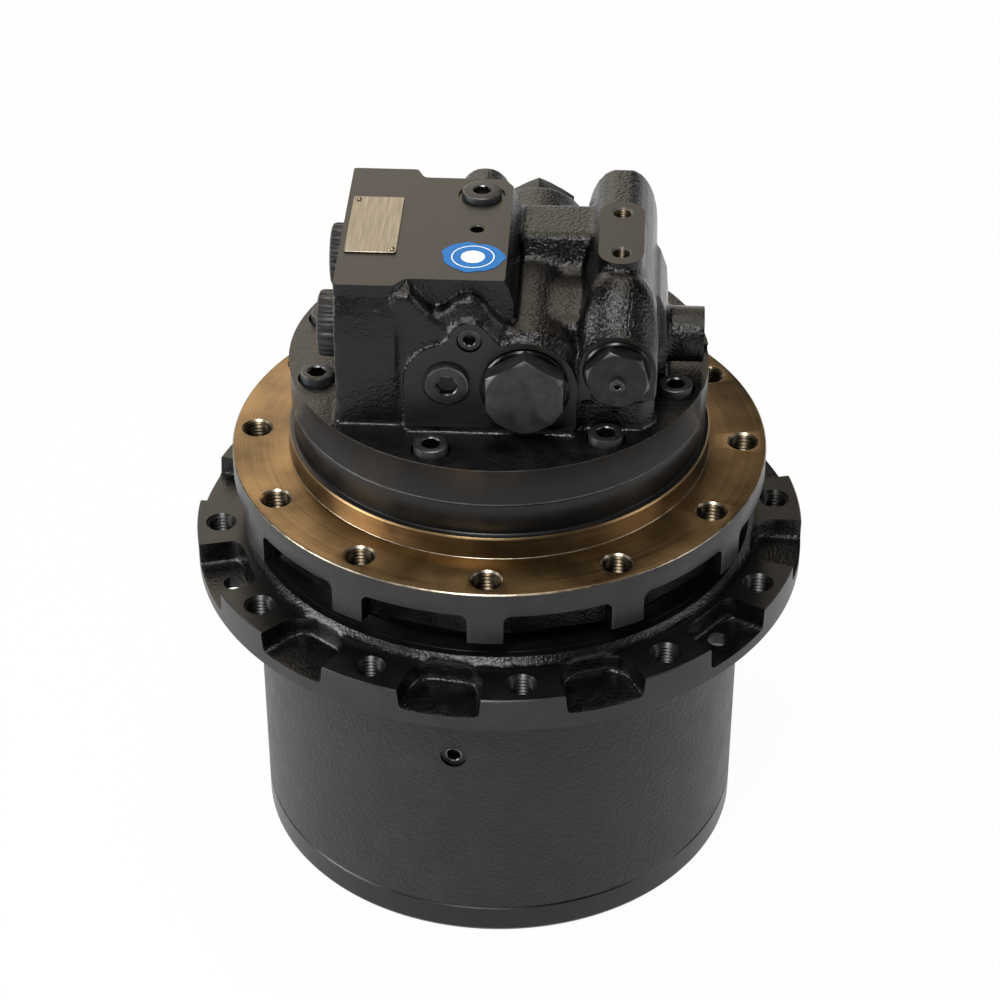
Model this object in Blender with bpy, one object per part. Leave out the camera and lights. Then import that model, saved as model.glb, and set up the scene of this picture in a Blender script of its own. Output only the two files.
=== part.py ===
"""Excavator final drive: a two-stage planetary hub with its hydraulic travel motor and valve block.

The Z axis is the turning axis. The end cover stands on Z = 0 and the valve block is on top.
The frame flange and everything bolted to it stands still; the housing with the sprocket
flange turns around it.
"""
import math

import bmesh
import bpy
from mathutils import Matrix, Vector

MM = 0.001

# Running and seating clearances
GAP = 0.3 * MM
ROUND_GAP = 0.6 * MM
OVERRUN = 2.0 * MM
MERGE = 0.002 * MM

# Facets round a full circle
RING_STEPS = 36
BORE_STEPS = 28
SHAFT_STEPS = 16
PLUG_STEPS = 14
HOLE_STEPS = 8
SMALL_STEPS = 6
HEX_SIDES = 6
SHARP_ANGLE = math.radians(32)
FLAT_ANGLE = math.radians(0.1)
ROD_PHASE = math.radians(7.7)
FULL_TURN = 2 * math.pi

# Gear train
MODULE = 3.0 * MM
PRESSURE_ANGLE = math.radians(25)
ADDENDUM_SHARE = 0.8
DEDENDUM_SHARE = 1.0
BACKLASH = 0.35 * MM
RING_TEETH = 69
SUN_1_TEETH = 9
PLANET_1_TEETH = 30
PLANET_1_COUNT = 3
SUN_2_TEETH = 15
PLANET_2_TEETH = 27
PLANET_2_COUNT = 4

# End cover
DRUM_WALL = 21.5 * MM
DRUM_RADIUS = MODULE * RING_TEETH / 2 + DRUM_WALL
COVER_RIM_HEIGHT = 16.5 * MM
COVER_EDGE = 1.5 * MM
COVER_DISH_RADIUS = 52.0 * MM
COVER_DISH_DEPTH = 2.0 * MM
COVER_DISH_SLOPE = 4.0 * MM
COVER_SPIGOT_HEIGHT = 2.8 * MM
COVER_RECESS_RADIUS = 88.0 * MM
COVER_RECESS_SLOPE = 4.0 * MM
COVER_PLATE = 11.0 * MM
THRUST_PAD_RADIUS = 15.0 * MM
THRUST_PAD_RISE = 0.5 * MM
THRUST_PAD_TOP = COVER_RIM_HEIGHT + THRUST_PAD_RISE
COVER_BOLT_COUNT = 12
COVER_BOLT_INSET = 9.0 * MM
COVER_BOLT_CIRCLE = DRUM_RADIUS - COVER_BOLT_INSET
COVER_BOLT_RECESS_RADIUS = 7.2 * MM
COVER_BOLT_RECESS_DEPTH = 8.5 * MM
COVER_PLUG_CIRCLE = 76.0 * MM
COVER_PLUG_RADIUS = 11.0 * MM
COVER_PLUG_HEAD = 5.0 * MM
COVER_PLUG_SET_BACK = 1.0 * MM
COVER_PLUG_THREAD_RADIUS = 7.5 * MM
COVER_PLUG_SOCKET = 5.2 * MM
COVER_PLUG_SOCKET_DEPTH = 3.5 * MM

# Housing, one casting with the sprocket flange and the ring gear
HOUSING_BOTTOM = COVER_RIM_HEIGHT + GAP
GEAR_RELIEF = 4.0 * MM
GEAR_RISE = 3.2 * MM
GEAR_BOTTOM = HOUSING_BOTTOM + GEAR_RISE

# Stage 1, below, and stage 2, above
PLANET_RISE = 1.0 * MM
PLANET_1_BOTTOM = GEAR_BOTTOM + PLANET_RISE
PLANET_1_FACE = 21.0 * MM
PLANET_1_PIN_RADIUS = 13.0 * MM
SUN_1_RISE = 1.0 * MM
SUN_1_BOTTOM = THRUST_PAD_TOP + SUN_1_RISE
SUN_1_OVERLAP = 1.2 * MM
SUN_1_TOP = PLANET_1_BOTTOM + PLANET_1_FACE + SUN_1_OVERLAP
SUN_1_SPLINE_RADIUS = 7.0 * MM
CARRIER_1_BOTTOM = SUN_1_TOP + GAP
CARRIER_1_THICKNESS = 8.5 * MM
CARRIER_1_ARM_RADIUS = 19.0 * MM
CARRIER_1_HUB_RADIUS = 34.0 * MM
SUN_2_HUB_RADIUS = 17.5 * MM
SUN_2_HUB_RISE = 1.0 * MM
SUN_2_HUB_BOTTOM = CARRIER_1_BOTTOM + SUN_2_HUB_RISE
SUN_2_TOOTH_RISE = 1.5 * MM
SUN_2_TOOTH_BOTTOM = CARRIER_1_BOTTOM + CARRIER_1_THICKNESS + SUN_2_TOOTH_RISE
SUN_2_BORE = 12.3 * MM
PLANET_2_RISE = 2.5 * MM
PLANET_2_BOTTOM = SUN_2_TOOTH_BOTTOM + PLANET_2_RISE
PLANET_2_FACE = 26.0 * MM
PLANET_2_PIN_RADIUS = 12.0 * MM
CARRIER_2_RISE = 1.5 * MM
CARRIER_2_BOTTOM = PLANET_2_BOTTOM + PLANET_2_FACE + CARRIER_2_RISE
SUN_2_DROP = 0.5 * MM
SUN_2_TOP = CARRIER_2_BOTTOM - SUN_2_DROP
CARRIER_2_RADIUS = 80.0 * MM
CARRIER_2_BORE = 28.0 * MM
GEAR_OVERLAP = 0.5 * MM
GEAR_TOP = CARRIER_2_BOTTOM + GEAR_OVERLAP

# Main bearings between the spindle and the housing
HOUSING_WALL = 25.0 * MM
BEARING_OUTER_RADIUS = DRUM_RADIUS - HOUSING_WALL
BEARING_OUTER_WALL = 7.0 * MM
BEARING_OUTER_GROOVE = BEARING_OUTER_RADIUS - BEARING_OUTER_WALL
BEARING_HEIGHT = 24.0 * MM
BEARING_INNER_RADIUS = BEARING_OUTER_RADIUS - BEARING_HEIGHT
BEARING_INNER_WALL = 7.4 * MM
BEARING_INNER_GROOVE = BEARING_INNER_RADIUS + BEARING_INNER_WALL
BEARING_WIDTH = 22.0 * MM
BEARING_SHOULDER_WIDTH = 5.0 * MM
BEARING_SHOULDER = BEARING_OUTER_RADIUS - BEARING_SHOULDER_WIDTH
GEAR_TO_BEARING = 20.0 * MM
LOWER_BEARING_BOTTOM = GEAR_TOP + GEAR_TO_BEARING
BEARING_SPACE = 16.0 * MM
UPPER_BEARING_BOTTOM = LOWER_BEARING_BOTTOM + BEARING_WIDTH + BEARING_SPACE
GROOVE_DEPTH = 3.2 * MM
GROOVE_HALF_WIDTH = 5.6 * MM
BALL_RADIUS = 7.2 * MM
BALL_COUNT = 11
BALL_STATION_SHARES = (0.36, 0.96, 0.96)
BALL_SECTION_STEPS = 6

# Outside of the housing: sprocket flange, pads and collar
SPROCKET_RISE = 16.6 * MM
SPROCKET_UNDERSIDE = UPPER_BEARING_BOTTOM + SPROCKET_RISE
SPROCKET_REACH = 29.3 * MM
SPROCKET_RADIUS = DRUM_RADIUS + SPROCKET_REACH
SPROCKET_RIM_THICKNESS = 6.6 * MM
SPROCKET_RIM_TOP = SPROCKET_UNDERSIDE + SPROCKET_RIM_THICKNESS
PAD_THICKNESS = 18.4 * MM
PAD_TOP = SPROCKET_UNDERSIDE + PAD_THICKNESS
PAD_INNER_REACH = 6.0 * MM
PAD_INNER_RADIUS = DRUM_RADIUS + PAD_INNER_REACH
COLLAR_STEP = 1.0 * MM
COLLAR_RADIUS = DRUM_RADIUS - COLLAR_STEP
COLLAR_RISE = 5.0 * MM
COLLAR_TOP = PAD_TOP + COLLAR_RISE
COLLAR_EDGE = 1.0 * MM
COLLAR_WALL = 11.0 * MM
COLLAR_BORE = COLLAR_RADIUS - COLLAR_WALL
COLLAR_BORE_DEPTH = 8.3 * MM
COLLAR_BORE_BOTTOM = COLLAR_TOP - COLLAR_BORE_DEPTH
PAD_COUNT = 12
PAD_HOLE_INSET = 12.3 * MM
PAD_HOLE_CIRCLE = SPROCKET_RADIUS - PAD_HOLE_INSET
PAD_HOLE_RADIUS = 6.6 * MM
PAD_FIRST_ANGLE = math.radians(7.1)
PAD_HALF_ANGLE = math.radians(6.9)
SCOOP_INSET = 1.5 * MM
SCOOP_INNER_RADIUS = PAD_INNER_RADIUS + SCOOP_INSET
SCOOP_DROP = 1.5 * MM
SCOOP_TOP = PAD_TOP - SCOOP_DROP
SCOOP_CORNER = 6.5 * MM
SCOOP_STEPS = 4
FLOOR_SHARE = 0.3
FLAT_EVERY = 4
FLAT_FIRST_GAP = 2
FLAT_INSET = 2.5 * MM
FLAT_INNER_RADIUS = PAD_INNER_RADIUS + FLAT_INSET
DOWEL_INSET = 13.3 * MM
DOWEL_CIRCLE = SPROCKET_RADIUS - DOWEL_INSET
DOWEL_HOLE_RADIUS = 6.0 * MM
SIDE_PLUG_ANGLE = math.radians(-97.6)
SIDE_PLUG_RISE = 12.0 * MM
SIDE_PLUG_HEIGHT = LOWER_BEARING_BOTTOM + SIDE_PLUG_RISE
SIDE_PLUG_RADIUS = 4.6 * MM
SIDE_PLUG_DEPTH = 13.0 * MM
SIDE_PLUG_LENGTH = 11.0 * MM
SIDE_PLUG_SOCKET = 2.6 * MM
SIDE_PLUG_SOCKET_DEPTH = 4.0 * MM
SPOT_DEPTH = 1.2 * MM

# Floating seal, one lapped ring in each casting
SEAL_WALL = 10.0 * MM
SEAL_OUTER_RADIUS = COLLAR_BORE - SEAL_WALL
SEAL_WIDTH = 13.0 * MM
SEAL_INNER_RADIUS = SEAL_OUTER_RADIUS - SEAL_WIDTH
SEAL_FACE_RISE = 1.45 * MM
SEAL_FACE_HEIGHT = COLLAR_BORE_BOTTOM + SEAL_FACE_RISE
SEAL_RING_HEIGHT = 8.8 * MM
SEAL_TAPER = 3.0 * MM

# Spindle casting with the frame flange
FLANGE_REACH = 20.8 * MM
FLANGE_RADIUS = COLLAR_BORE + FLANGE_REACH
FLANGE_RISE = 12.9 * MM
FLANGE_BOTTOM = COLLAR_TOP + FLANGE_RISE
FLANGE_THICKNESS = 28.7 * MM
FLANGE_TOP = FLANGE_BOTTOM + FLANGE_THICKNESS
FLANGE_EDGE = 0.8 * MM
POCKET_ROOF = 12.6 * MM
POCKET_TOP = FLANGE_TOP - POCKET_ROOF
POCKET_DEPTH = 15.8 * MM
POCKET_DRUM_RADIUS = FLANGE_RADIUS - POCKET_DEPTH
LAND_COUNT = 12
LAND_HALF_ANGLE = math.radians(3.7)
POCKET_CORNER = 3.0 * MM
FRAME_HOLE_INSET = 11.8 * MM
FRAME_HOLE_CIRCLE = FLANGE_RADIUS - FRAME_HOLE_INSET
FRAME_HOLE_RADIUS = 7.2 * MM
PILOT_INSET = 28.8 * MM
PILOT_RADIUS = FLANGE_RADIUS - PILOT_INSET
PILOT_HEIGHT = 9.6 * MM
PILOT_TOP = FLANGE_TOP + PILOT_HEIGHT
CASE_INSET = 2.5 * MM
CASE_RADIUS = PILOT_RADIUS - CASE_INSET
CASE_HEIGHT = 19.2 * MM
CASE_TOP = PILOT_TOP + CASE_HEIGHT
SKIRT_RADIUS = COLLAR_BORE - ROUND_GAP
SPINDLE_SHOULDER = 8.0 * MM
SPINDLE_SHOULDER_RADIUS = BEARING_INNER_RADIUS + SPINDLE_SHOULDER
SPINDLE_RADIUS = BEARING_INNER_RADIUS - ROUND_GAP
SPINDLE_DROP = 8.7 * MM
SPINDLE_BOTTOM = LOWER_BEARING_BOTTOM - SPINDLE_DROP
NUT_THREAD_INSET = 4.5 * MM
NUT_THREAD_RADIUS = BEARING_INNER_RADIUS - NUT_THREAD_INSET
NUT_REACH = 8.0 * MM
NUT_RADIUS = BEARING_INNER_RADIUS + NUT_REACH
NUT_RISE = 1.2 * MM
NUT_BOTTOM = SPINDLE_BOTTOM + NUT_RISE
NUT_SLOT_COUNT = 6
NUT_SLOT_DEPTH = 3.5 * MM
NUT_SLOT_WIDTH = 9.0 * MM
NOSE_BORE = 45.0 * MM
NOSE_BORE_DEPTH = 12.2 * MM
NOSE_BORE_TOP = SPINDLE_BOTTOM + NOSE_BORE_DEPTH
NOSE_HOLE_RADIUS = 22.0 * MM
SHAFT_SEAL_RISE = 1.5 * MM
SHAFT_SEAL_BOTTOM = NOSE_BORE_TOP + SHAFT_SEAL_RISE
SHAFT_SEAL_HEIGHT = 7.0 * MM
SHAFT_SEAL_RADIUS = 27.0 * MM
FRONT_BEARING_RISE = 9.0 * MM
FRONT_BEARING_BOTTOM = SHAFT_SEAL_BOTTOM + FRONT_BEARING_RISE
FRONT_BEARING_HEIGHT = 16.0 * MM
FRONT_BEARING_RADIUS = 36.0 * MM
FRONT_BEARING_RACE = 9.0 * MM
FRONT_BEARING_SPLIT = FRONT_BEARING_RADIUS - FRONT_BEARING_RACE
BEARING_GAP = 1.2 * MM
CASE_FLOOR_RISE = 20.0 * MM
CASE_FLOOR = FRONT_BEARING_BOTTOM + CASE_FLOOR_RISE
CASE_WALL = 14.0 * MM
CASE_LOWER_BORE = BEARING_INNER_RADIUS - CASE_WALL
CASE_STEP_RISE = 52.0 * MM
CASE_STEP = CASE_FLOOR + CASE_STEP_RISE
CASE_UPPER_REACH = 16.0 * MM
CASE_UPPER_BORE = CASE_LOWER_BORE + CASE_UPPER_REACH
CARRIER_2_THICKNESS = SPINDLE_BOTTOM - GAP - CARRIER_2_BOTTOM
CARRIER_2_SPIGOT_TOP = NOSE_BORE_TOP - GAP

# Motor shaft and rotating group
SHAFT_RISE = 1.0 * MM
SHAFT_BOTTOM = SUN_1_BOTTOM + SHAFT_RISE
SHAFT_THIN_OVERLAP = 0.5 * MM
SHAFT_THIN_TOP = NOSE_BORE_TOP + SHAFT_THIN_OVERLAP
SHAFT_THIN_RADIUS = 10.5 * MM
SHAFT_RADIUS = 17.0 * MM
SHAFT_SPLINE_RADIUS = 14.0 * MM
SHAFT_SPLINE_RISE = 42.0 * MM
SHAFT_SPLINE_BOTTOM = CASE_FLOOR + SHAFT_SPLINE_RISE
SHAFT_STUB_RADIUS = 10.0 * MM
BARREL_HEADROOM = 6.4 * MM
SHAFT_STUB_BOTTOM = CASE_TOP - BARREL_HEADROOM
SHAFT_REACH = 15.6 * MM
SHAFT_TOP = CASE_TOP + SHAFT_REACH
SWASH_RISE = 28.0 * MM
SWASH_FACE = CASE_FLOOR + SWASH_RISE
SWASH_RADIUS = 50.0 * MM
SWASH_BORE = 22.0 * MM
SWASH_PIVOT_X = -40.0 * MM
SWASH_PIVOT_RISE = 3.0 * MM
SWASH_PIVOT_HEIGHT = CASE_FLOOR + SWASH_PIVOT_RISE
SWASH_PIVOT_RADIUS = 2.7 * MM
SWASH_THIN = 10.0 * MM
SPEED_PISTON_X = 50.0 * MM
SPEED_PISTON_RADIUS = 7.0 * MM
SPEED_PISTON_DROP = 6.0 * MM
SPEED_PISTON_BOTTOM = CASE_FLOOR - SPEED_PISTON_DROP
SPEED_PISTON_BORE_DEPTH = 18.5 * MM
SPEED_PISTON_BORE_BOTTOM = CASE_FLOOR - SPEED_PISTON_BORE_DEPTH
PISTON_COUNT = 9
PISTON_CIRCLE = 33.0 * MM
PISTON_RADIUS = 8.0 * MM
PISTON_LENGTH = 56.0 * MM
PISTON_TOP = SWASH_FACE + PISTON_LENGTH
PISTON_NECK_RADIUS = 4.5 * MM
SHOE_HEIGHT = 4.5 * MM
RETAINER_RADIUS = 46.0 * MM
RETAINER_BORE = 20.0 * MM
RETAINER_THICKNESS = 3.0 * MM
NECK_RISE = 12.0 * MM
NECK_TOP = SWASH_FACE + NECK_RISE
BLOCK_BARREL_WALL = 5.5 * MM
BLOCK_BARREL_RADIUS = PISTON_CIRCLE + PISTON_RADIUS + BLOCK_BARREL_WALL
BLOCK_BARREL_RISE = 21.0 * MM
BLOCK_BARREL_BOTTOM = SWASH_FACE + BLOCK_BARREL_RISE
BLOCK_BARREL_TOP = SHAFT_STUB_BOTTOM
DRAIN_CHAMFER = 3.0 * MM
VALVE_PLATE_RADIUS = 46.0 * MM
VALVE_PLATE_BORE = 15.0 * MM
KIDNEY_HALF_WIDTH = 5.0 * MM
KIDNEY_HALF_ANGLE = math.radians(66)
KIDNEY_STEPS = 9
BRAKE_PLATE_BOTTOM = CASE_STEP + GAP
BRAKE_PLATE_THICKNESS = 3.0 * MM
BRAKE_DISC_THICKNESS = 3.4 * MM
BRAKE_DISC_INSET = 6.0 * MM
BRAKE_DISC_RADIUS = CASE_UPPER_BORE - BRAKE_DISC_INSET
BRAKE_INNER_SPACE = 4.5 * MM
BRAKE_INNER_RADIUS = BLOCK_BARREL_RADIUS + BRAKE_INNER_SPACE
BRAKE_HEADROOM = 16.4 * MM
BRAKE_PISTON_TOP = CASE_TOP - BRAKE_HEADROOM
BRAKE_PISTON_STEP_DROP = 22.0 * MM
BRAKE_PISTON_STEP = BRAKE_PISTON_TOP - BRAKE_PISTON_STEP_DROP
BRAKE_PISTON_LOWER_RADIUS = 70.0 * MM
BRAKE_SPRING_THICKNESS = 2.6 * MM
BRAKE_SPRING_INNER = 56.0 * MM
BRAKE_SPRING_OUTER = 76.0 * MM

# Valve block: base, cast body and machined faces
BLOCK_BOTTOM = CASE_TOP + GAP
BLOCK_BASE_REACH = 0.6 * MM
BLOCK_BASE_RADIUS = CASE_RADIUS + BLOCK_BASE_REACH
BLOCK_BASE_THICKNESS = 20.1 * MM
BLOCK_BASE_TOP = BLOCK_BOTTOM + BLOCK_BASE_THICKNESS
BLOCK_BASE_EDGE = 1.2 * MM
BLOCK_HEIGHT = 74.8 * MM
BLOCK_TOP = BLOCK_BASE_TOP + BLOCK_HEIGHT
SPOOL_RISE = 24.2 * MM
SPOOL_Z = BLOCK_BASE_TOP + SPOOL_RISE
BODY_ROOT = BLOCK_BASE_TOP - OVERRUN
BODY_LEFT = -74.0 * MM
BODY_DRAFT = 1.5 * MM
BODY_FRONT = -64.5 * MM
BODY_SET_BACK_X = -42.0 * MM
BODY_SET_BACK = -58.5 * MM
BODY_CHAMFER = 4.0 * MM
BODY_RIGHT = 7.0 * MM
BODY_BACK = 46.0 * MM
BODY_BACK_STEP = 38.0 * MM
REAR_BODY_BACK = 74.0 * MM
REAR_BODY_RISE = 19.0 * MM
REAR_BODY_TOP = SPOOL_Z + REAR_BODY_RISE
REAR_BODY_RIGHT = 40.0 * MM
REAR_BODY_CHAMFER = 10.0 * MM
FOOT_RIGHT = 76.0 * MM
FOOT_BACK = 62.0 * MM
FOOT_FRONT = -65.5 * MM
FOOT_LEFT = 42.0 * MM
VALLEY_LEFT = 4.0 * MM
VALLEY_RIGHT = 47.0 * MM
VALLEY_DROP = 12.6 * MM
VALLEY_TOP = BLOCK_TOP - VALLEY_DROP
VALLEY_LEDGE = 7.0 * MM
VALLEY_FRONT = -53.0 * MM
VALLEY_FRONT_DROP = 14.0 * MM
VALLEY_FRONT_TOP = VALLEY_TOP - VALLEY_FRONT_DROP
VALLEY_SCOOP = 11.0 * MM

SPOOL_X = 15.5 * MM
SPOOL_BARREL_RADIUS = 27.0 * MM
SPOOL_BARREL_FRONT = -62.0 * MM
SPOOL_BARREL_BACK = 80.5 * MM
SPOOL_BORE = 11.0 * MM
SPOOL_HALF_LENGTH = 40.0 * MM
SPOOL_WAIST_SHARE = 0.62
MIDDLE_SHARE = 0.32
LAND_EDGE_SHARE = 0.12
END_LAND_SHARE = 0.55
SPEED_SPOOL_HALF_LENGTH = 38.0 * MM
SPEED_SPOOL_Y = 12.0 * MM
PAD_FACE = -69.5 * MM
PAD_BACK = -58.0 * MM
PAD_LEFT = -40.5 * MM
PAD_SPOOL_END = math.radians(120)
PAD_PILOT_START = math.radians(30)
PAD_GAUGE_START = math.radians(100)
PAD_SPOOL_STEPS = 7
PAD_PILOT_STEPS = 5
PAD_GAUGE_STEPS = 4
PAD_ARC_RADIUS = 23.2 * MM
GAUGE_X = -21.0 * MM
GAUGE_RISE = 1.5 * MM
GAUGE_Z = SPOOL_Z + GAUGE_RISE
GAUGE_ARC_RADIUS = 19.5 * MM
PILOT_X = -10.5 * MM
PILOT_RISE = 24.5 * MM
PILOT_Z = SPOOL_Z + PILOT_RISE
PILOT_ARC_RADIUS = 8.8 * MM
PILOT_BARREL_RADIUS = 12.0 * MM
PILOT_BARREL_BACK = 73.0 * MM
SPEED_X = 58.5 * MM
SPEED_RISE = 9.5 * MM
SPEED_Z = SPOOL_Z + SPEED_RISE
SPEED_BARREL_RADIUS = 17.5 * MM
SPEED_BARREL_FRONT = -68.0 * MM
SPEED_BARREL_BACK = 70.0 * MM
SPEED_BORE = 7.5 * MM
RIDGE_FRONT = -46.0 * MM
RIDGE_BACK = 62.0 * MM
RIDGE_DROP = 3.6 * MM
RIDGE_TOP = BLOCK_TOP - RIDGE_DROP
RIDGE_HALF_WIDTH = 17.5 * MM
RIDGE_TOP_HALF_WIDTH = 9.0 * MM
RIDGE_CROWN = 10.0 * MM
RIDGE_SHOULDER = RIDGE_TOP - RIDGE_CROWN
RIDGE_STEPS = 4
LUG_RADIUS = 10.3 * MM
LUG_FRONT_Y = -29.0 * MM
LUG_BACK_Y = 8.5 * MM
LUG_HOLE_RADIUS = 4.2 * MM
LUG_HOLE_DEPTH = 15.0 * MM
TOP_TAP_X = -10.0 * MM
TOP_TAP_Y = -10.5 * MM
TOP_TAP_RADIUS = 3.2 * MM
DRAIN_Y = -8.0 * MM
DRAIN_DROP = 6.0 * MM
DRAIN_Z = SPOOL_Z - DRAIN_DROP
DRAIN_RADIUS = 13.5 * MM
DRAIN_END = 99.5 * MM
DRAIN_BORE = 8.5 * MM
DRAIN_BORE_DEPTH = 18.0 * MM
WEB_RIGHT = 82.0 * MM
WEB_FRONT = -26.0 * MM
WEB_BACK = 22.0 * MM
WEB_RISE = 25.0 * MM
WEB_TOP = SPOOL_Z + WEB_RISE
WEB_SLOPE = 8.0 * MM

# Plugs, caps and plate on the valve block
BIG_PLUG_HEX = 36.0 * MM
BIG_PLUG_HEX_HEIGHT = 9.5 * MM
BIG_PLUG_COLLAR = 20.6 * MM
BIG_PLUG_COLLAR_HEIGHT = 3.0 * MM
BIG_PLUG_SPOT = 1.6 * MM
BIG_PLUG_THREAD = 16.0 * MM
BIG_PLUG_LENGTH = 20.0 * MM
SPEED_PLUG_HEX = 27.0 * MM
SPEED_PLUG_HEX_HEIGHT = 7.0 * MM
SPEED_PLUG_COLLAR = 16.2 * MM
SPEED_PLUG_COLLAR_HEIGHT = 1.6 * MM
SPEED_PLUG_THREAD = 11.0 * MM
SPEED_PLUG_LENGTH = 16.0 * MM
BLEED_BORE = 3.4 * MM
BLEED_DEPTH = 8.0 * MM
BLEED_PROUD = 2.0 * MM
BLEED_DROP = 1.5 * MM
BLEED_SOCKET = 1.5 * MM
GAUGE_PLUG_RADIUS = 10.4 * MM
GAUGE_PLUG_HEAD = 2.6 * MM
GAUGE_PLUG_THREAD = 8.0 * MM
GAUGE_PLUG_LENGTH = 14.0 * MM
GAUGE_PLUG_SOCKET = 5.0 * MM
PILOT_PLUG_RADIUS = 5.4 * MM
PILOT_PLUG_SOCKET = 3.0 * MM
TOP_PLUG_X = -9.5 * MM
TOP_PLUG_Y = 22.0 * MM
TOP_PLUG_RADIUS = 9.6 * MM
TOP_PLUG_PROUD = 3.0 * MM
TOP_PLUG_SPOT = 11.2 * MM
TOP_PLUG_SPOT_DEPTH = 1.0 * MM
TOP_PLUG_SOCKET = 4.2 * MM
SOCKET_DEPTH = 6.0 * MM
CAP_RISE = 9.0 * MM
CAP_HEIGHT = SPOOL_Z + CAP_RISE
CAP_FRONT_Y = -31.0 * MM
CAP_BACK_Y = 33.0 * MM
CAP_RADIUS = 16.0 * MM
CAP_THICKNESS = 9.0 * MM
CAP_EDGE = 2.0 * MM
CAP_THREAD = 11.5 * MM
CAP_THREAD_LENGTH = 14.0 * MM
CAP_FACE_PAD = 19.0 * MM
CAP_FACE_PROUD = 1.5 * MM
PLATE_LEFT = -71.0 * MM
PLATE_RIGHT = -46.5 * MM
PLATE_FRONT = -36.0 * MM
PLATE_BACK = 16.5 * MM
PLATE_THICKNESS = 0.8 * MM
PLATE_CORNER = 1.0 * MM

# Bolts that hold the valve block on the motor case
BLOCK_BOLT_INSET = 11.0 * MM
BLOCK_BOLT_CIRCLE = CASE_RADIUS - BLOCK_BOLT_INSET
BLOCK_BOLT_ANGLES = [math.radians(angle) for angle in (19.2, 54.0, 107.6, 163.0, 198.0, 252.4, 306.0, 340.8)]
BLOCK_BOLT_HEAD = 8.2 * MM
BLOCK_BOLT_HEAD_HEIGHT = 8.0 * MM
BLOCK_BOLT_SHANK = 5.0 * MM
BLOCK_BOLT_HOLE = 5.9 * MM
BLOCK_BOLT_LENGTH = 34.0 * MM
BLOCK_BOLT_SOCKET = 4.6 * MM
BLOCK_BOLT_SPOT = 9.7 * MM
BLOCK_BOLT_REACH = 20.0 * MM

COLOURS = {
    "black_paint": ((0.035, 0.035, 0.037), 0.35, 0.0),
    "grey_paint": ((0.075, 0.075, 0.08), 0.5, 0.0),
    "turned_face": ((0.25, 0.18, 0.1), 0.35, 1.0),
    "steel": ((0.42, 0.42, 0.43), 0.35, 1.0),
    "gear_steel": ((0.3, 0.31, 0.33), 0.3, 1.0),
    "black_oxide": ((0.03, 0.03, 0.032), 0.4, 0.6),
    "bronze": ((0.4, 0.24, 0.1), 0.4, 1.0),
    "aluminium": ((0.6, 0.58, 0.52), 0.35, 1.0),
    "rubber": ((0.02, 0.02, 0.02), 0.8, 0.0),
    "plastic": ((0.02, 0.02, 0.022), 0.45, 0.0),
}


def clear_scene():
    """Start from an empty scene."""
    for old in list(bpy.data.objects):
        bpy.data.objects.remove(old)


def material_named(name):
    """Return the Principled material of one finish, made on first use."""
    found = bpy.data.materials.get(name)
    if found:
        return found
    colour, roughness, metallic = COLOURS[name]
    made = bpy.data.materials.new(name)
    made.use_nodes = True
    shader = made.node_tree.nodes["Principled BSDF"]
    shader.inputs["Base Color"].default_value = (*colour, 1.0)
    shader.inputs["Roughness"].default_value = roughness
    shader.inputs["Metallic"].default_value = metallic
    return made


def solid(name, points, faces, finish="steel"):
    """Link a closed mesh built from points and faces."""
    mesh = bpy.data.meshes.new(name)
    mesh.from_pydata([tuple(point) for point in points], [], faces)
    mesh.update()
    item = bpy.data.objects.new(name, mesh)
    bpy.context.collection.objects.link(item)
    mesh.materials.append(material_named(finish))
    shade(item)
    return item


def shade(item):
    """Shade round walls smooth and keep real edges sharp."""
    item.data.shade_smooth()
    item.data.set_sharp_from_angle(angle=SHARP_ANGLE)


def turned(name, profile, steps, finish="steel", phase=0.0):
    """Turn a closed (radius, height) profile, listed anticlockwise, about the Z axis."""
    points = []
    rings = []
    for radius, height in profile:
        if radius == 0:
            rings.append([len(points)] * steps)
            points.append((0, 0, height))
            continue
        first = len(points)
        for step in range(steps):
            angle = phase + FULL_TURN * step / steps
            points.append((radius * math.cos(angle), radius * math.sin(angle), height))
        rings.append([first + step for step in range(steps)])
    faces = []
    for index, ring in enumerate(rings):
        following = rings[(index + 1) % len(rings)]
        for step in range(steps):
            after = (step + 1) % steps
            corners = [ring[step], ring[after], following[after], following[step]]
            face = [corner for place, corner in enumerate(corners) if corner not in corners[:place]]
            if len(face) > 2:
                faces.append(face)
    return solid(name, points, faces, finish)


def prism(name, outline, low, high, finish="steel", scale_low=(1.0, 1.0)):
    """Extrude an anticlockwise (x, y) outline from one height to another."""
    count = len(outline)
    points = [(x * scale_low[0], y * scale_low[1], low) for x, y in outline]
    points += [(x, y, high) for x, y in outline]
    faces = [list(reversed(range(count))), list(range(count, 2 * count))]
    for index in range(count):
        after = (index + 1) % count
        faces.append([index, after, count + after, count + index])
    return solid(name, points, faces, finish)


def arc(centre, radius, start, end, steps):
    """Points on an arc, both ends included."""
    found = []
    for step in range(steps + 1):
        angle = start + (end - start) * step / steps
        found.append((centre[0] + radius * math.cos(angle), centre[1] + radius * math.sin(angle)))
    return found


def circle(radius, steps, centre=(0.0, 0.0), phase=0.0):
    """Corner points of a regular polygon standing for a circle."""
    return arc(centre, radius, phase, phase + FULL_TURN, steps)[:-1]


def rod(name, radius, low, high, steps, finish="steel", centre=(0.0, 0.0), phase=ROD_PHASE):
    """A round bar along Z."""
    return prism(name, circle(radius, steps, centre, phase), low, high, finish)


def settle(item, matrix):
    """Move the mesh itself, and leave the object's origin where it is."""
    item.data.transform(matrix)
    return item


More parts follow.
